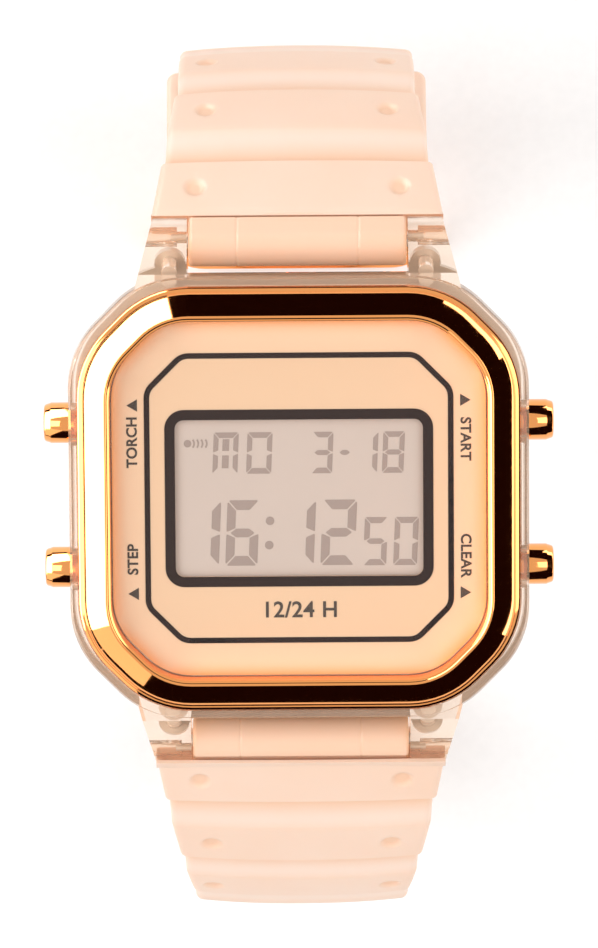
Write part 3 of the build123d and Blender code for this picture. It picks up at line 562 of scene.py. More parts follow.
def rounded(corners, steps):
    """The corners (a, b, radius) of a closed outline with arcs in place of the bends."""
    points = []
    count = len(corners)
    for index, (a, b, radius) in enumerate(corners):
        here = Vector((a, b))
        if radius == 0:
            points.append(here)
            continue
        before = (Vector(corners[index - 1][:2]) - here).normalized()
        after = (Vector(corners[(index + 1) % count][:2]) - here).normalized()
        half = before.angle(after) / 2
        run = radius / math.tan(half)
        centre = here + (before + after).normalized() * radius / math.sin(half)
        first = here + before * run - centre
        swing = first.angle_signed(here + after * run - centre)
        for step in range(steps + 1):
            points.append(centre + Matrix.Rotation(-swing * step / steps, 2) @ first)
    return points


def octagon(width, depth, leg, bend, gap, steps=8):
    """Points round a rectangle with cut, bent corners, drawn in by a gap."""
    slant = (width / 2 + depth / 2 - leg) / math.sqrt(2)
    supports = [width / 2, slant, depth / 2, slant] * 2
    points = []
    for side in range(8):
        angle = math.radians(45 * side)
        first = Vector((math.cos(angle), math.sin(angle)))
        second = Vector((math.cos(angle + math.pi / 4), math.sin(angle + math.pi / 4)))
        reach_first = supports[side] - bend
        reach_second = supports[(side + 1) % 8] - bend
        cross = first.x * second.y - first.y * second.x
        centre = Vector(((reach_first * second.y - reach_second * first.y) / cross,
                         (first.x * reach_second - second.x * reach_first) / cross))
        for step in range(steps + 1):
            bearing = angle + math.pi / 4 * step / steps
            points.append(centre + (bend - gap) * Vector((math.cos(bearing), math.sin(bearing))))
    return points


def level(points, height):
    return [Vector((x, y, height)) for x, y in points]


def disc_ring(radius, steps=48):
    return [Vector((radius * math.cos(2 * math.pi * step / steps),
                    radius * math.sin(2 * math.pi * step / steps))) for step in range(steps)]


def turned(profile, start, direction, steps=64):
    """A turned solid: profile points (along, radius) about an axis."""
    along = Vector(direction).normalized()
    side = along.orthogonal().normalized()
    third = along.cross(side)
    rings = []
    for run, radius in profile:
        centre = Vector(start) + along * run
        rings.append([centre + side * x + third * y for x, y in disc_ring(radius, steps)])
    return lofted(rings)


def rod_pair(plane, inner, run, radius, edge):
    """Two rods with rounded ends across the strap, from that distance outward on each side."""
    profile = [(0, radius - edge), (0.3 * edge, radius - 0.3 * edge), (edge, radius)]
    profile += [(run - place, reach) for place, reach in reversed(profile)]
    return [turned(profile, plane @ Vector((side * inner, 0, 0)), (side, 0, 0), 40)
            for side in (1, -1)]


def extruded(outline, plane, low, high):
    """An outline of a plane pushed from one height over the plane to another."""
    rings = [[plane @ Vector((a, b, height)) for a, b in outline] for height in (low, high)]
    return lofted(rings)


def sloped_plane(y, z, angle):
    """A plane at a point of the strap: X across it, Y along it and Z out of it."""
    outward = Vector((0, math.sin(angle), math.cos(angle)))
    across = Vector((1, 0, 0))
    axes = Matrix((across, outward.cross(across), outward)).transposed().to_4x4()
    return Matrix.Translation((0, y, z)) @ axes


# The strap's line

class StrapLine:
    """A strap half's outer face seen from the side: arcs end to end, then a straight."""

    def __init__(self, strap, start, arcs, straight):
        self.strap = strap
        self.straight = straight * MM
        tangent = Vector((strap.bar_y + strap.eye_radius * math.sin(strap.slope),
                          strap.bar_z + strap.eye_radius * math.cos(strap.slope)))
        angle = strap.slope
        y, z = tangent + start * Vector((math.cos(angle), -math.sin(angle)))
        self.legs = []
        self.length = 0
        for radius, end_degrees in arcs:
            end_angle = math.radians(end_degrees)
            run = radius * MM * (end_angle - angle)
            self.legs.append((self.length, y, z, angle, 1 / (radius * MM)))
            y, z = self.on_leg(self.legs[-1], run, 0)
            self.length += run
            angle = end_angle
        self.legs.append((self.length, y, z, angle, 0))
        self.length += self.straight

    @staticmethod
    def on_leg(leg, run, depth):
        _, start_y, start_z, start_angle, curve = leg
        angle = start_angle + curve * run
        if curve:
            y = start_y + (math.sin(angle) - math.sin(start_angle)) / curve
            z = start_z - (math.cos(start_angle) - math.cos(angle)) / curve
        else:
            y = start_y + run * math.cos(angle)
            z = start_z - run * math.sin(angle)
        return y - depth * math.sin(angle), z - depth * math.cos(angle)

    def leg_at(self, distance):
        return [leg for leg in self.legs if leg[0] <= max(distance, 0)][-1]

    def point(self, distance, depth=0):
        leg = self.leg_at(distance)
        return self.on_leg(leg, distance - leg[0], depth)

    def angle(self, distance):
        leg = self.leg_at(distance)
        return leg[3] + leg[4] * (distance - leg[0])

    def inner_depth(self, distance):
        """Thickness of the strap there, so the depth of its inner face."""
        root = self.strap.root_thickness
        return root + distance / self.length * (self.strap.end_thickness - root)

    def plane(self, distance, depth=0):
        return sloped_plane(*self.point(distance, depth), self.angle(distance))


def buckle_line(strap):
    return StrapLine(strap, strap.buckle_start, [(30.0, 54.9), (27.0, 90.0), (28.0, 120.0)], 16.7)


def tail_line(strap):
    arcs = [(46.0, 54.9), (34.0, 90.0), (36.0, 115.0), (27.5, 180.0)]
    return StrapLine(strap, strap.tail_start, arcs, 17.0)


def bow(root, middle, end):
    """Half widths by place on the circle through three (place, half width) points."""
    (ax, ay), (bx, by), (cx, cy) = root, middle, end
    d = 2 * (ax * (by - cy) + bx * (cy - ay) + cx * (ay - by))
    a, b, c = ax**2 + ay**2, bx**2 + by**2, cx**2 + cy**2
    ux = (a * (by - cy) + b * (cy - ay) + c * (ay - by)) / d
    uy = (a * (cx - bx) + b * (ax - cx) + c * (bx - ax)) / d
    radius = math.hypot(ax - ux, ay - uy)
    sign = 1 if ay > uy else -1
    return lambda place: uy + sign * math.sqrt(max(0, radius**2 - (place - ux) ** 2))


def hollow_share(strap, distance):
    """Place in the hollow after a rib: 0 at its step, 1 at the next rib, None on a rib."""
    along = distance % strap.rib_pitch
    if distance < 0 or distance > RIBS * strap.rib_pitch or along < strap.rib_length:
        return None
    return (along - strap.rib_length) / (strap.rib_pitch - strap.rib_length)


def rib_depth(strap, distance):
    """Depth of the ribbed outer face under its smooth line: a step, then a long scoop."""
    share = hollow_share(strap, distance)
    return 0 if share is None else strap.rib_step * math.sin(math.pi * share**0.5) ** 0.8


def painted_shade_and_highlight(share):
    """Painted shade and highlight across a hollow: from 1, the deepest painted shade, at its step
    to -1, the palest painted highlight, before the next rib.
    """
    change = 0.45
    if share is None:
        return 0
    if share < change:
        return min(1, share / 0.05) * (1 - share / change)
    return -math.sin(math.pi * (share - change) / (1 - change))


def crown_drop(strap, distance, side):
    """How much the outer face falls towards its long edges, at that share of the half width."""
    least = 0.3  # the share of it at the shoulder and past the ribs
    grown = min(1, least + distance / (2 * strap.rib_pitch))
    left = min(1, max(least, RIBS + 1 - distance / strap.rib_pitch))
    return strap.crown * grown * left * min(1, abs(side)) ** 2.2


def strap_stations(strap, line):
    """Distances of the mesh's rows, close together at steps and dimples."""
    spans = []
    reach = strap.dimple_radius + 0.1 * MM
    for rib in range(RIBS):
        start = rib * strap.rib_pitch
        end = start + strap.rib_length
        middle = start + strap.rib_length / 2
        spans += [(start, middle - reach, 0.6), (middle - reach, middle + reach, 0.15),
                  (middle + reach, end - 0.1 * MM, 0.6), (end - 0.1 * MM, end + 0.5 * MM, 0.05),
                  (end + 0.5 * MM, start + strap.rib_pitch, 0.3)]
    spans.append((RIBS * strap.rib_pitch, line.length, 0.9))
    stops = {0.0, line.length}
    for low, high, step in spans:
        count = max(1, round((high - low) / (step * MM)))
        stops.update(low + (high - low) * index / count for index in range(count + 1))
    ordered = sorted(stops)
    return [stop for index, stop in enumerate(ordered)
            if not index or stop - ordered[index - 1] > 1e-6]


def strap_columns():
    """Shares of the half width of the mesh's columns, close together at the dimples."""
    shares = [0.0, 0.15, 0.3, 0.45, 0.56]
    shares += [0.62 + 0.0167 * index for index in range(21)]
    shares += [0.98, 1.0]
    return [-share for share in reversed(shares[1:])] + shares


class Taper:
    """Half width of a strap half along its line."""

    def __init__(self, strap, line, mid_width, end_width, tip_radius=0):
        start = line.point(0)[0]
        reach = line.legs[2][1] - start  # out to where the strap hangs straight down
        self.end_place = start + reach * 0.88
        self.curve = bow((start, strap.root_width / 2), (start + reach * 0.55, mid_width / 2),
                         (self.end_place, end_width / 2))
        self.line = line
        self.strap = strap
        self.waist = line.legs[2][0]
        self.end_half = end_width / 2
        self.tip_radius = tip_radius

    def half(self, distance):
        place = self.line.point(distance)[0]
        if distance >= self.waist or place >= self.end_place:
            half = self.end_half
        else:
            half = self.curve(max(place, self.line.point(0)[0]))
        share = hollow_share(self.strap, distance)
        if share is not None:
            half -= self.strap.rib_notch * min(1, share / 0.1) * (1 - share)
        left = self.line.length - distance
        if self.tip_radius and left < self.tip_radius:
            inward = self.tip_radius - left
            half -= self.tip_radius - math.sqrt(max(0, self.tip_radius**2 - inward**2))
        return half


def strap_skin(strap, line, taper, slot=None):
    """A strap half's long body with its vertices' painted shade and highlight tones: ribbed
    outside, smooth inside.

    The slot (half width, depth) is cut into its end.
    """
    edge = strap.edge
    bends = [math.radians(90 * step / 4) for step in range(5)]
    stations = strap_stations(strap, line)
    if taper.tip_radius:
        tip = line.length - taper.tip_radius
        stations = [stop for stop in stations if stop < tip]
        stations += [tip + taper.tip_radius * math.sin(math.radians(angle)) for angle in
                     (0, 10, 20, 30, 40, 50, 60, 70, 78, 84, 90)]
    shares = strap_columns()
    if slot:
        cut = line.length - slot[1]
        stations = sorted(set(stations) | {cut})
        side = slot[0] / (taper.end_half - edge)
        shares = sorted(set(shares) | {side, -side})
    top = []
    bottom = []
    painted_light_tones = []
    for distance in stations:
        half = taper.half(distance)
        base = rib_depth(strap, distance)
        shade = painted_shade_and_highlight(hollow_share(strap, distance))
        inner = line.inner_depth(distance)
        rim = [(half - edge + edge * math.cos(bend), edge - edge * math.sin(bend))
               for bend in bends[:-1]]
        row = [(-x, drop) for x, drop in rim]
        row += [(share * (half - edge), 0) for share in shares]
        row += reversed(rim)
        upper = []
        lower = []
        for x, drop in row:
            at = distance
            if slot and abs(x) <= slot[0] + 1e-7:
                at = min(distance, cut)
            pit = dimple(strap, x, at)
            outer = base + drop + pit + crown_drop(strap, at, x / half)
            upper.append(Vector((x, *line.point(at, outer))))
            lower.append(Vector((x, *line.point(at, inner - drop))))
            # Painted shade: deeper in the dimples and from each hollow's step; below 0 it is the
            # painted highlight before the next rib.
            painted_light_tones.append(max(shade, 0.5 * pit / strap.dimple_depth) if pit else shade)
        top.append(upper)
        bottom.append(lower)
    rows = top + bottom[::-1] + root_arc(strap, line, top[0])
    count = len(rows[0])
    verts = [point for row in rows for point in row]
    faces = []
    for index in range(len(rows)):
        following = (index + 1) % len(rows)
        for column in range(count - 1):
            faces.append((index * count + column, following * count + column,
                          following * count + column + 1, index * count + column + 1))
    last = 2 * len(stations) - 1
    walls = [(index, index + 1, last - index - 1, last - index)
             for index in range(len(stations) - 1)]
    walls.append((0, *range(len(rows) - 1, last - 1, -1)))
    for column in (0, count - 1):
        faces += [tuple(index * count + column for index in wall) for wall in walls]
    return verts, faces, painted_light_tones


def dimple(strap, x, distance):
    """Depth of the moulded dimple at a point of the outer face."""
    rib = int(distance // strap.rib_pitch)
    if distance < 0 or rib >= RIBS:
        return 0
    side = DIMPLE_SIDES[min(rib, 1)]
    middle = rib * strap.rib_pitch + strap.rib_length / 2
    away = math.hypot(abs(x) - side, distance - middle) / strap.dimple_radius
    if away >= 1:
        return 0
    return strap.dimple_depth * min(1, 2.5 * (1 - away)) ** 0.8


def root_arc(strap, line, upper):
    """Rows that close the shoulder with the hollow round the lugs."""
    centre = Vector((strap.bar_y, strap.bar_z))
    ends = [Vector(line.point(0, depth)) - centre for depth in (0, line.inner_depth(0))]
    first, last = [math.atan2(end.y, end.x) for end in ends]
    rows = []
    steps = 6
    for step in range(steps, -1, -1):
        angle = first + (last - first) * step / steps
        y, z = centre + strap.shoulder_radius * Vector((math.cos(angle), math.sin(angle)))
        rows.append([Vector((point.x, y, z)) for point in upper])
    return rows


def tab_skin(strap, line):
    """The tab round the spring bar, set off from the first rib by a groove."""
    drop = 0.12 * MM
    centre = Vector((strap.bar_y, strap.bar_z))
    # From the body out to the groove, as millimetres along the strap and under its face
    outline = [Vector(line.point(run * MM, depth * MM)) for run, depth in
               ((3, 2.2), (3, 1.2), (0.4, 0.55), (-0.05, 0.55), (-0.2, 0.4), (-0.32, 0.12))]
    first = math.pi / 2 - strap.slope
    last = first + math.radians(250)
    for step in range(33):
        angle = first + (last - first) * step / 32
        reach = strap.eye_radius - drop * max(0, 1 - step / 6)
        outline.append(centre + reach * Vector((math.cos(angle), math.sin(angle))))
    # Rings across the tab, drawn in at its sides and its two seams
    edges = [(strap.tab_width / 2 + offset * MM, inset) for offset, inset in
             ((0, 0.3), (-0.06, 0.12), (-0.25, 0), (-0.33, 0))]
    edges += [(TAB_SEAM + offset * MM, inset) for offset, inset in
              ((0.2, 0), (0.12, 0), (0, 0.06), (-0.12, 0), (-0.2, 0))]
    edges += [(-x, inset) for x, inset in reversed(edges)]
    middle = centre + Vector((0.4 * MM, 0))
    rings = []
    for x, inset in edges:
        ring = [point - (point - middle).normalized() * inset * MM for point in outline]
        rings.append([Vector((x, y, z)) for y, z in ring])
    return lofted(rings)


def mirrored(skin):
    """The skin on the other side of the watch's cross line."""
    verts, faces = skin[:2]
    return ([Vector((vert.x, -vert.y, vert.z)) for vert in verts],
            [tuple(reversed(face)) for face in faces])


def cut_holes(made, skin):
    """Takes the shape of a skin out of a piece."""
    cutter = linked("cutter", mesh_of("cutter", *skin))
    cut = made.modifiers.new("cut", "BOOLEAN")
    cut.object = cutter
    cut.solver = "EXACT"
    cut.use_self = True
    evaluated = made.evaluated_get(bpy.context.evaluated_depsgraph_get())
    result = bpy.data.meshes.new_from_object(evaluated)
    made.modifiers.clear()
    made.data = result
    softened(result)
    bpy.data.objects.remove(cutter)


# Operators

class WATCH_OT_bezel(Operator):
    """Builds the bezel ring and the lens"""

    bl_idname = "watch.bezel"
    bl_label = "Bezel and Lens"

    def execute(self, context):
        case = context.scene.watch_case
        colours = context.scene.watch_colours
        width = case.opening_width + 2 * case.bezel_width
        depth = case.opening_length + 2 * case.bezel_width
        leg = case.corner_leg + (2 - math.sqrt(2)) * case.bezel_width
        bend = case.corner_bend + case.bezel_width
        # The ring's section: (millimetres in from its outer side, millimetres over the ledge)
        section = [(0, 0), (0, 0.84), (0.04, 0.94), (0.14, 1.0), (0.28, 1.02), (0.38, 1.06),
                   (0.43, 1.14)]
        foot = Vector((0.46, 1.2))
        crest = Vector((2.02, 2.42))
        foot_slope, crest_slope = math.radians(41), math.radians(29)
        steps = 10
        slopes = [foot_slope + (crest_slope - foot_slope) * (step + 0.5) / steps
                  for step in range(steps)]
        run = (crest.x - foot.x) / sum(math.cos(slope) for slope in slopes)
        rise = (crest.y - foot.y) / sum(math.sin(slope) for slope in slopes)
        point = foot.copy()
        section.append(tuple(point))
        for slope in slopes:
            point += Vector((run * math.cos(slope), rise * math.sin(slope)))
            section.append(tuple(point))
        section += [(2.06, 2.46), (2.12, 2.49), (2.2, 2.5), (2.28, 2.49), (2.33, 2.45),
                    (2.38, 2.42), (2.46, 2.41), (2.52, 2.38), (2.55, 2.3), (2.55, 0)]
        rings = [level(octagon(width, depth, leg, bend, gap * MM), case.ledge_height + height * MM)
                 for gap, height in section]
        piece("bezel_polished", lofted(rings, looped=True), "head", "rose_gold",
              gold_finish(colours), ["bezel_ring"], 34)

        low = case.lens_bottom
        top = low + case.lens_height
        gap = case.lens_gap
        edge = case.lens_edge
        profile = [(gap, low)]
        profile += [(gap + along * edge, top - down * edge) for along, down in
                    ((0, 1), (0.1, 0.75), (0.75, 0.1), (1, 0))]
        profile.append((gap + edge + MM, top))
        rings = [level(octagon(case.opening_width, case.opening_length, case.corner_leg,
                               case.corner_bend, inset), height) for inset, height in profile]
        lens = piece("lens_polished", lofted(rings), "head", "lens_clear", lens_finish(), ["lens"])
        lens.data.materials.append(rim_finish().material)
        for face in lens.data.polygons:
            face.material_index = 0 if face.normal.z > 0.99 else 1
        return {"FINISHED"}


class WATCH_OT_case(Operator):
    """Gives the clear case, its back and its screws their finishes"""

    bl_idname = "watch.case"
    bl_label = "Case"

    def execute(self, context):
        colours = context.scene.watch_colours
        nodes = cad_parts
        clear_finish(colours).put(nodes["case_body"])
        steel_finish(colours).put(nodes["case_back"])
        steel_finish(colours, "screw_steel", 1.1, (6, 6, 1)).put(nodes["back_screws"])
        silicone = plain_finish("gasket_silicone", (0.8, 0.66, 0.55), 0.4)
        silicone.put(nodes["back_gasket"], nodes["button_rings"])

        # The case back again, with its inner face a hair's breadth clear of the case
        mesh = nodes["case_back"].data.copy()
        mesh.name = "back_plate"
        inner = max(vertex.co.z for vertex in mesh.vertices)
        for vertex in mesh.vertices:
            if vertex.co.z > inner - 0.05 * MM:
                vertex.co.z -= 0.03 * MM
        back = linked("back_plate", mesh)
        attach(back, "head")
        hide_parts("case_back")
        return {"FINISHED"}


class WATCH_OT_dial(Operator):
    """Finishes the dial plate and prints its words and arrows"""

    bl_idname = "watch.dial"
    bl_label = "Dial"

    def execute(self, context):
        colours = context.scene.watch_colours
        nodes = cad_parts
        dial_finish(colours, context.scene.watch_case).put(nodes["dial_plate"])
        ink = ink_finish(colours, "dial_ink", colours.ink)
        ink.put(nodes["dial_print"])
        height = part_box("dial_plate")[1].z + PRINT_DEPTH
        words = [  # (text, x, y, turn in degrees, size)
            ("TORCH", -12.95, 4.45, 90, 1.13), ("STEP", -12.95, -4.75, 90, 1.13),
            ("START", 12.95, 4.55, -90, 1.13), ("CLEAR", 12.95, -4.6, -90, 1.13),
            ("12/24 H", 0, -8.83, 0, 1.75),
        ]
        for text, x, y, degrees, size in words:
            curve = bpy.data.curves.new("print_" + text[:2], "FONT")
            curve.body = text
            curve.size = size * MM
            curve.extrude = PRINT_DEPTH / 2
            curve.offset = 0.03 * MM
            curve.align_x = curve.align_y = "CENTER"
            curve.space_character = 1.04
            name = text.replace("/", "_").replace(" ", "_").lower()
            label = linked("print_" + name, curve)
            label.location = (x * MM, y * MM, height)
            label.rotation_euler = (0, 0, math.radians(degrees))
            ink.put(label)
            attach(label, "head")
        skins = []
        arrow = [Vector(corner) * MM for corner in ((-0.4, -0.48), (0.42, 0), (-0.4, 0.48))]
        for x, y in ((-12.95, 7.33), (-12.95, -7.45), (12.95, 7.6), (12.95, -7.5)):
            plane = Matrix.Translation((x * MM, y * MM, height))
            plane @= Matrix.Rotation(math.pi if x < 0 else 0, 4, "Z")
            skins.append(extruded(arrow, plane, -PRINT_DEPTH / 2, PRINT_DEPTH / 2))
        piece("print_arrows", merged(*skins), "head", "dial_ink", ink)
        return {"FINISHED"}


def segment_outlines(width, height, s):
    """Outlines of a digit's segments of stroke s, from its lower left corner, by name."""
    g = s * 0.1
    half = height / 2
    top = [(g, height), (width - g, height), (width - s, height - s), (s, height - s)]
    upper_left = [(0, height - g), (s - g, height - s - g), (s - g, half + s / 2), (0, half + g)]
    rise = s / 2 - g / 2

    def stem(low, high):
        left, right = width / 2 - s * 0.6, width / 2 + s * 0.6
        return [(left, low), (right, low), (right, high), (left, high)]

    return {
        "a": top,
        "f": upper_left,
        "b": [(width - x, y) for x, y in reversed(upper_left)],
        "e": [(x, height - y) for x, y in reversed(upper_left)],
        "c": [(width - x, height - y) for x, y in upper_left],
        "d": [(x, height - y) for x, y in reversed(top)],
        "g": [(s * 0.4, half), (s, half + rise), (width - s, half + rise),
              (width - s * 0.4, half), (width - s, half - rise), (s, half - rise)],
        "i": stem(half + s * 0.4, height - s * 1.2),
        "j": stem(s, half - s * 0.4),
    }


SEGMENTS = {"0": "abcdef", "1": "bc", "2": "abged", "3": "abgcd", "5": "afgcd", "6": "afgedc",
            "8": "abcdefg", "-": "g", "M": "abcefij"}


class WATCH_OT_display(Operator):
    """Finishes the display and draws the day, date and time in segments"""

    bl_idname = "watch.display"
    bl_label = "Display"

    def execute(self, context):
        colours = context.scene.watch_colours
        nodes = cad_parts
        display_finish(colours).put(nodes["display_glass"])
        plain_finish("reflector_foil", (0.6, 0.58, 0.55), 0.4).put(nodes["display_reflector"])
        plane = Matrix.Translation((0, 0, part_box("display_glass")[1].z))
        outlines = []
        slant = math.tan(math.radians(2.5))
        digits = [  # (symbol, x, y, width, height, stroke)
            ("M", -6.75, 1.88, 1.95, 3.25, 0.44), ("0", -4.12, 1.88, 1.95, 3.25, 0.44),
            ("3", 0.95, 1.88, 1.62, 3.25, 0.44), ("-", 2.9, 1.88, 1.2, 3.25, 0.44),
            ("1", 4.42, 1.88, 1.65, 3.25, 0.44), ("8", 6.45, 1.88, 1.68, 3.25, 0.44),
            ("1", -8.75, -5.34, 2.45, 5.14, 0.76), ("6", -5.8, -5.34, 2.5, 5.14, 0.76),
            ("1", -1.35, -5.34, 2.45, 5.14, 0.76), ("2", 1.62, -5.34, 2.68, 5.14, 0.76),
            ("5", 4.95, -5.38, 1.8, 3.79, 0.48), ("0", 7.3, -5.38, 1.86, 3.79, 0.48),
        ]
        for symbol, x, y, width, height, stroke in digits:
            segments = segment_outlines(width, height, stroke)
            bend = 0.08 * stroke * MM
            for name in SEGMENTS[symbol]:
                outlines.append(rounded([((x + a + b * slant) * MM, (y + b) * MM, bend)
                                         for a, b in segments[name]], 2))
        signal = (-8.66, 4.27)
        for x, y, radius in ((-2.28, -1.83, 0.34), (-2.36, -3.74, 0.34), (*signal, 0.3)):
            centre = Vector((x, y)) * MM
            outlines.append([centre + point for point in disc_ring(radius * MM, 24)])
        bearings = [math.radians(-38 + step * 76 / 8) for step in range(9)]
        arc = [Vector((math.cos(bearing), math.sin(bearing))) * MM for bearing in bearings]
        for index in range(4):
            centre = Vector((signal[0] + index * 0.33, signal[1])) * MM
            outlines.append([centre + point * 0.58 for point in arc]
                            + [centre + point * 0.44 for point in reversed(arc)])
        skins = [extruded(outline, plane, 0, PRINT_DEPTH) for outline in outlines]
        ink = ink_finish(colours, "display_segments", colours.segment_and_edge_shade)
        piece("display_segments", merged(*skins), "head", "display_glass", ink)
        return {"FINISHED"}


class WATCH_OT_buttons(Operator):
    """Builds the four push buttons"""

    bl_idname = "watch.buttons"
    bl_label = "Buttons"

    def execute(self, context):
        buttons = context.scene.watch_buttons
        gold = gold_finish(context.scene.watch_colours, "button_gold", 0.12)
        spring = steel_finish(context.scene.watch_colours, "spring_wire", 0.9)
        face, root, radius = buttons.face, buttons.root, buttons.radius
        shoulder = face - buttons.taper
        profile = [(root, 0.6 * radius), (root, radius - 0.1 * MM), (root + 0.1 * MM, radius),
                   (shoulder - 0.05 * MM, radius), (shoulder, radius - 0.03 * MM)]
        profile += [(face - back * MM, buttons.waist + wider * MM) for back, wider in
                    ((0.14, 0.03), (0.05, -0.03), (0, -0.13), (0.01, -0.3))]
        profile.append((face - 0.01 * MM, 0.2 * MM))
        places = (("start", 1, 1), ("reset", 1, -1), ("light", -1, 1), ("mode", -1, -1))
        for name, side, end in places:
            skin = turned(profile, (0, end * buttons.spacing / 2, buttons.height), (side, 0, 0))
            piece("button_" + name + "_cap", skin, name + "_button", "rose_gold_metal", gold,
                  ["button_" + name])
            for kind in ("button_clip_", "button_spring_"):
                spring.put(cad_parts[kind + name])
        return {"FINISHED"}


class WATCH_OT_strap(Operator):
    """Builds the two halves of the strap"""

    bl_idname = "watch.strap"
    bl_label = "Strap"

    def execute(self, context):
        strap = context.scene.watch_strap
        buckle = context.scene.watch_buckle
        resin = resin_finish(context.scene.watch_colours)
        line = buckle_line(strap)
        taper = Taper(strap, line, strap.buckle_mid_width, strap.buckle_width)
        skins = [strap_skin(strap, line, taper, (buckle.slot_width / 2, buckle.slot_depth)),
                 tab_skin(strap, line)]
        band, tab = skins
        # The tab between the lugs carries a share of the hollows' painted shade.
        painted_light_tones = band[2] + [0.0] * (len(band[0]) - len(band[2])) + [TAB_PAINTED_SHADE] * len(tab[0])
        plane = line.plane(line.length, strap.end_thickness / 2)
        skins += rod_pair(plane, buckle.slot_width / 2, (buckle.end_width - buckle.slot_width) / 2,
                          buckle.knuckle_radius, 0.2 * MM)
        piece("strap_buckle_half", merged(*skins), "upper_strap", "strap_resin", resin,
              ["strap_upper"], 50, painted_light_tones)

        line = tail_line(strap)
        taper = Taper(strap, line, strap.tail_mid_width, strap.tail_width, strap.tip_radius)
        skin = strap_skin(strap, line, taper)
        tail = piece("strap_tail_half", mirrored(skin), "lower_strap", "strap_resin", resin,
                     ["strap_lower"], 50, skin[2])
        punches = []
        for hole in range(7):
            plane = line.plane(strap.hole_first + hole * strap.hole_pitch)
            rim = disc_ring(strap.hole_radius, 32)
            punches.append(mirrored(extruded(rim, plane, -5 * MM, 2 * MM)))
        cut_holes(tail, merged(*punches))
        tab = mirrored(tab_skin(strap, line))
        # The tab carries a share of the hollows' painted shade.
        piece("strap_tail_tab", tab, "lower_strap", "strap_resin", resin,
              painted_light_tones=[TAB_PAINTED_SHADE] * len(tab[0]))
        return {"FINISHED"}


class WATCH_OT_buckle(Operator):
    """Builds the buckle, its tongue and the free keeper"""

    bl_idname = "watch.buckle"
    bl_label = "Buckle and Keeper"

    def execute(self, context):
        strap = context.scene.watch_strap
        buckle = context.scene.watch_buckle
        colours = context.scene.watch_colours
        gold = gold_finish(colours, "buckle_gold", 0.15)
        line = buckle_line(strap)
        tail = tail_line(strap)
        y, z = line.point(line.length, strap.end_thickness / 2)
        drop = z - tail.point(tail.length)[1] - buckle.floor_gap
        reach = buckle.frame_length + buckle.overhang
        half = buckle.thickness / 2
        fall = math.asin(min(1, drop / math.hypot(reach, half))) - math.atan2(half, reach)
        plane = sloped_plane(y, z, math.pi - fall)
        self.build_frame(buckle, plane, gold)
        self.build_tongue(buckle, plane, gold)
        self.build_keeper(buckle, line, resin_finish(colours, "keeper_resin"))
        return {"FINISHED"}

    @staticmethod
    def build_frame(buckle, plane, gold):
        """The buckle's frame with its notch and the eyes of its arms."""
        half = buckle.thickness / 2
        inner = buckle.end_width / 2 + buckle.arm_gap
        outer = inner + buckle.arm
        end = buckle.frame_length
        bar = end - buckle.arm
        bend = buckle.corner - buckle.arm / 2
        outline = rounded([
            (-outer, 0, 0), (-inner, 0, 0), (-inner, bar, bend), (inner, bar, bend), (inner, 0, 0),
            (outer, 0, 0), (outer, end, buckle.corner), (-outer, end, buckle.corner),
        ], 8)
        body = piece("buckle_bow", extruded(outline, plane, -half, half), "buckle",
                     "rose_gold_metal", gold, ["buckle_frame"])
        side = buckle.notch_width / 2
        notch = [(-side, bar - MM), (side, bar - MM), (side, end + MM), (-side, end + MM)]
        cut_holes(body, extruded(notch, plane, half - buckle.notch_depth, half + MM))
        bevelled(body, buckle.edge, 4, 30)
        eyes = rod_pair(plane, inner, buckle.arm, buckle.eye_radius, 0.3 * MM)
        piece("buckle_eyes", merged(*eyes), "buckle", "rose_gold_metal", gold)

    @staticmethod
    def build_tongue(buckle, plane, gold):
        """The tongue, from its eye round the pin to its tip in the notch."""
        reach = buckle.frame_length + buckle.overhang
        rest = buckle.thickness / 2 - buckle.notch_depth + 0.05 * MM
        start = buckle.frame_length - buckle.arm - 0.05 * MM
        thick = buckle.tongue_thickness / 2
        rise = rest + thick
        outline = [(0, -thick), (start, rise - thick), (reach, rise - thick),
                   (reach, rise + thick / 2), (start, rise + thick), (0, thick)]
        side_plane = plane @ Matrix(((0, 0, 1, 0), (1, 0, 0, 0), (0, 1, 0, 0), (0, 0, 0, 1)))
        width = buckle.tongue_width / 2
        tongue = piece("tongue_blade", extruded(outline, side_plane, -width, width), "tongue",
                       "rose_gold_metal", gold, ["buckle_tongue"])
        bevelled(tongue, 0.25 * MM, 3, 40)
        eye = buckle.tongue_eye
        edge = 0.15 * MM
        profile = [(0, eye - edge), (edge, eye), (2 * width - edge, eye), (2 * width, eye - edge)]
        piece("tongue_eye", turned(profile, plane @ Vector((-width, 0, 0)), (1, 0, 0), 40),
              "tongue", "rose_gold_metal", gold)

    @staticmethod
    def build_keeper(buckle, line, resin):
        """The free loop round the straight end of the buckle half."""
        middle = line.length - line.straight / 2
        width = line.strap.buckle_width / 2 + buckle.keeper_gap + buckle.keeper_wall
        low = -line.inner_depth(middle) - buckle.keeper_gap - buckle.keeper_wall
        high = buckle.keeper_room + buckle.keeper_wall
        loop_plane = line.plane(middle)
        half = buckle.keeper_length / 2
        wall = buckle.keeper_wall
        edge = 0.4 * MM
        section = [(0, -half, edge), (0, half, edge), (wall, half, edge), (wall, -half, edge)]
        rings = []
        for gap, place in rounded(section, 4):
            bend = max(0.1 * MM, buckle.keeper_round - gap * 0.6)
            loop = [(width - gap, low + gap, bend), (width - gap, high - gap, bend),
                    (gap - width, high - gap, bend), (gap - width, low + gap, bend)]
            rings.append([loop_plane @ Vector((x, place, z)) for x, z in rounded(loop, 6)])
        piece("keeper_loop", lofted(rings, looped=True), "keeper", "strap_resin", resin,
              ["strap_keeper"], painted_light_tones=[0.0])


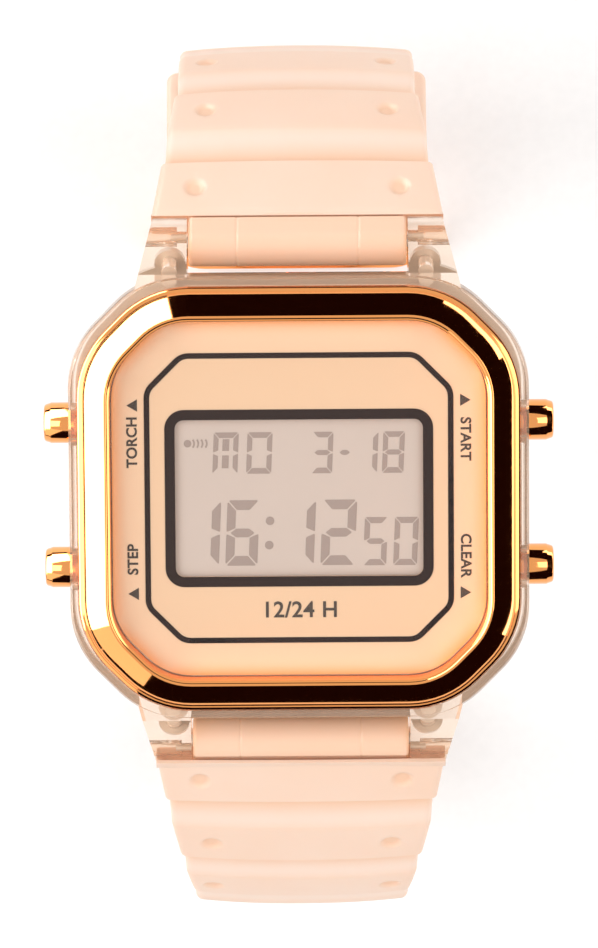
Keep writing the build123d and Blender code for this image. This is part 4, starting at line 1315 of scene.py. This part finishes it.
class WATCH_OT_inside(Operator):
    """Gives the pieces inside the case and the spring bars their finishes"""

    bl_idname = "watch.inside"
    bl_label = "Inside"

    def execute(self, context):
        colours = context.scene.watch_colours
        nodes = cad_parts
        white = plain_finish("frame_plastic", (0.78, 0.77, 0.74), 0.4)
        white.put(nodes["module_frame"], nodes["cell_frame"])
        board_finish().put(nodes["circuit_board"])
        plain_finish("chip_resin", (0.012, 0.012, 0.013), 0.3).put(nodes["chip_cap"])
        plain_finish("lamp_resin", (0.85, 0.8, 0.5), 0.15).put(nodes["lamp"])
        rubber_strip_finish().put(nodes["contact_strips"])
        steel = steel_finish(colours, "bar_steel", 1.05, (14, 1, 1))
        steel.put(*[nodes[name] for name in ("lug_bar_upper", "lug_bar_lower", "lug_bar_tips",
                                             "buckle_pin", "buckle_pin_tips", "module_screws",
                                             "clock_crystal")])
        spring = steel_finish(colours, "coil_steel", 0.85, (30, 1, 1))
        spring.put(*[nodes[name] for name in ("lug_bar_coils", "buckle_pin_coil", "contact_plate",
                                              "sounder_spring")])
        steel_finish(colours, "cell_steel", 1.15, (3, 3, 1)).put(nodes["cell"])
        brass = plain_finish("sounder_brass", (0.7, 0.5, 0.2), 0.25, metallic=1)
        brass.put(nodes["sounder_disc"])
        return {"FINISHED"}


class WATCH_OT_stage(Operator):
    """Sets the floor, the soft light and the camera"""

    bl_idname = "watch.stage"
    bl_label = "Stage"

    def execute(self, context):
        colours = context.scene.watch_colours
        half = 4.0
        corners = [(x, y, cad_box[0].z) for x, y in
                   ((-half, -half), (half, -half), (half, half), (-half, half))]
        floor = linked("floor", mesh_of("floor", corners, [(0, 1, 2, 3)]))
        plain_finish("floor_paper", colours.floor, 0.6, 1.0, 0.02).put(floor)

        world = bpy.data.worlds.new("studio")
        context.scene.world = world
        world.use_nodes = True
        ground = world.node_tree.nodes["Background"]
        ground.inputs["Color"].default_value = (1, 1, 1, 1)
        ground.inputs["Strength"].default_value = 0.85

        context.scene.view_settings.view_transform = "Standard"
        dark = plain_finish("flag_cloth", (0.01, 0.003, 0.002), 0.9, 1.0, specular_ior_level=0)
        bright = self.lit_finish("reflector_cloth", 8.0)
        dim = self.lit_finish("dim_cloth", 0.33)
        soft = self.lit_finish("soft_cloth", 3.2)
        self.card("flags", dark, 0.3, -140, 106, -0.02, 0.3)
        self.card("flags_low", dark, 0.29, 107, 219, -0.06, 0.004)
        self.card("reflector", bright, 0.3, 107, 207, -0.02, 0.3)
        self.card("reflector_dim", dim, 0.29, 207, 239, 0.006, 0.3)
        self.card("reflector_corner", soft, 0.29, 22, 62, -0.02, 0.055)
        self.card("reflector_right", soft, 0.29, -32, 22, -0.02, 0.02)
        for name, x, power in (("softbox_left", -0.8, 5.0), ("softbox_right", 0.8, 3.6)):
            self.softbox(name, (x, 0.02, 0.85), power)

        camera = linked("camera", bpy.data.cameras.new("camera"))
        context.scene.camera = camera
        tilt = math.radians(7)
        roll = math.radians(-0.4)
        distance = 420 * MM
        field = 73.8 * MM  # height of the picture at the watch
        aim = Vector((0, 1.85, 6)) * MM
        away = Vector((0, math.sin(tilt), math.cos(tilt)))
        camera.location = aim + away * distance
        turned_to = Matrix.Rotation(-tilt, 3, "X") @ Matrix.Rotation(roll, 3, "Z")
        camera.rotation_euler = turned_to.to_euler()
        camera.data.sensor_width = 36
        camera.data.lens = camera.data.sensor_width * distance / field
        camera.data.clip_start = 0.01
        camera.data.clip_end = 20
        return {"FINISHED"}

    @staticmethod
    def softbox(name, place, power):
        data = bpy.data.lights.new(name, "AREA")
        data.shape = "RECTANGLE"
        data.size, data.size_y = 0.6, 0.8
        data.energy = power
        lamp = linked(name, data)
        lamp.location = place
        lamp.rotation_euler = Vector(place).to_track_quat("Z", "Y").to_euler()
        lamp.visible_camera = False

    @staticmethod
    def card(name, finish, radius, start, end, low, high):
        """A curved card round the watch, between two bearings, that only polished faces mirror."""
        steps = 48
        verts = []
        faces = []
        for step in range(steps + 1):
            angle = math.radians(start + (end - start) * step / steps)
            for height in (low, high):
                verts.append((radius * math.cos(angle), radius * math.sin(angle), height))
            if step:
                base = 2 * step
                faces.append((base - 2, base, base + 1, base - 1))
        card = linked(name, mesh_of(name, verts, faces))
        finish.put(card)
        for kind in ("camera", "diffuse", "transmission", "shadow", "volume_scatter"):
            setattr(card, "visible_" + kind, False)

    @staticmethod
    def lit_finish(name, strength):
        """The lit cloth of a reflector."""
        cloth = Finish(name, base_color=(1, 1, 1), emission_strength=strength)
        weave = cloth.noise(8, 2)
        return cloth.set(emission_color=cloth.mix(weave, (1, 1, 1), (0.9, 0.9, 0.9)))


class WATCH_PT_panel(Panel):
    """The watch's sizes, colours and steps"""

    bl_idname = "WATCH_PT_panel"
    bl_label = "Digital Wrist Watch"
    bl_space_type = "VIEW_3D"
    bl_region_type = "UI"
    bl_category = "Watch"

    def draw(self, context):
        for name, _ in GROUPS:
            box = self.layout.box()
            group = getattr(context.scene, name)
            for prop in group.bl_rna.properties:
                if not prop.is_readonly and prop.identifier != "name":
                    box.prop(group, prop.identifier)
        for operator in OPERATORS:
            self.layout.operator(operator.bl_idname)


GROUPS = (("watch_case", WatchCase), ("watch_buttons", WatchButtons), ("watch_strap", WatchStrap),
          ("watch_buckle", WatchBuckle), ("watch_colours", WatchColours))
OPERATORS = (WATCH_OT_case, WATCH_OT_bezel, WATCH_OT_dial, WATCH_OT_display, WATCH_OT_buttons,
             WATCH_OT_strap, WATCH_OT_buckle, WATCH_OT_inside, WATCH_OT_stage)
CLASSES = tuple(group for _, group in GROUPS) + OPERATORS + (WATCH_PT_panel,)


def register():
    for made in CLASSES:
        bpy.utils.register_class(made)
    for name, group in GROUPS:
        setattr(bpy.types.Scene, name, PointerProperty(type=group))


def unregister():
    for name, _ in GROUPS:
        delattr(bpy.types.Scene, name)
    for made in reversed(CLASSES):
        bpy.utils.unregister_class(made)


def main():
    register()
    for operator in OPERATORS:
        group, name = operator.bl_idname.split(".")
        getattr(getattr(bpy.ops, group), name)()


if __name__ == "__main__":
    main()
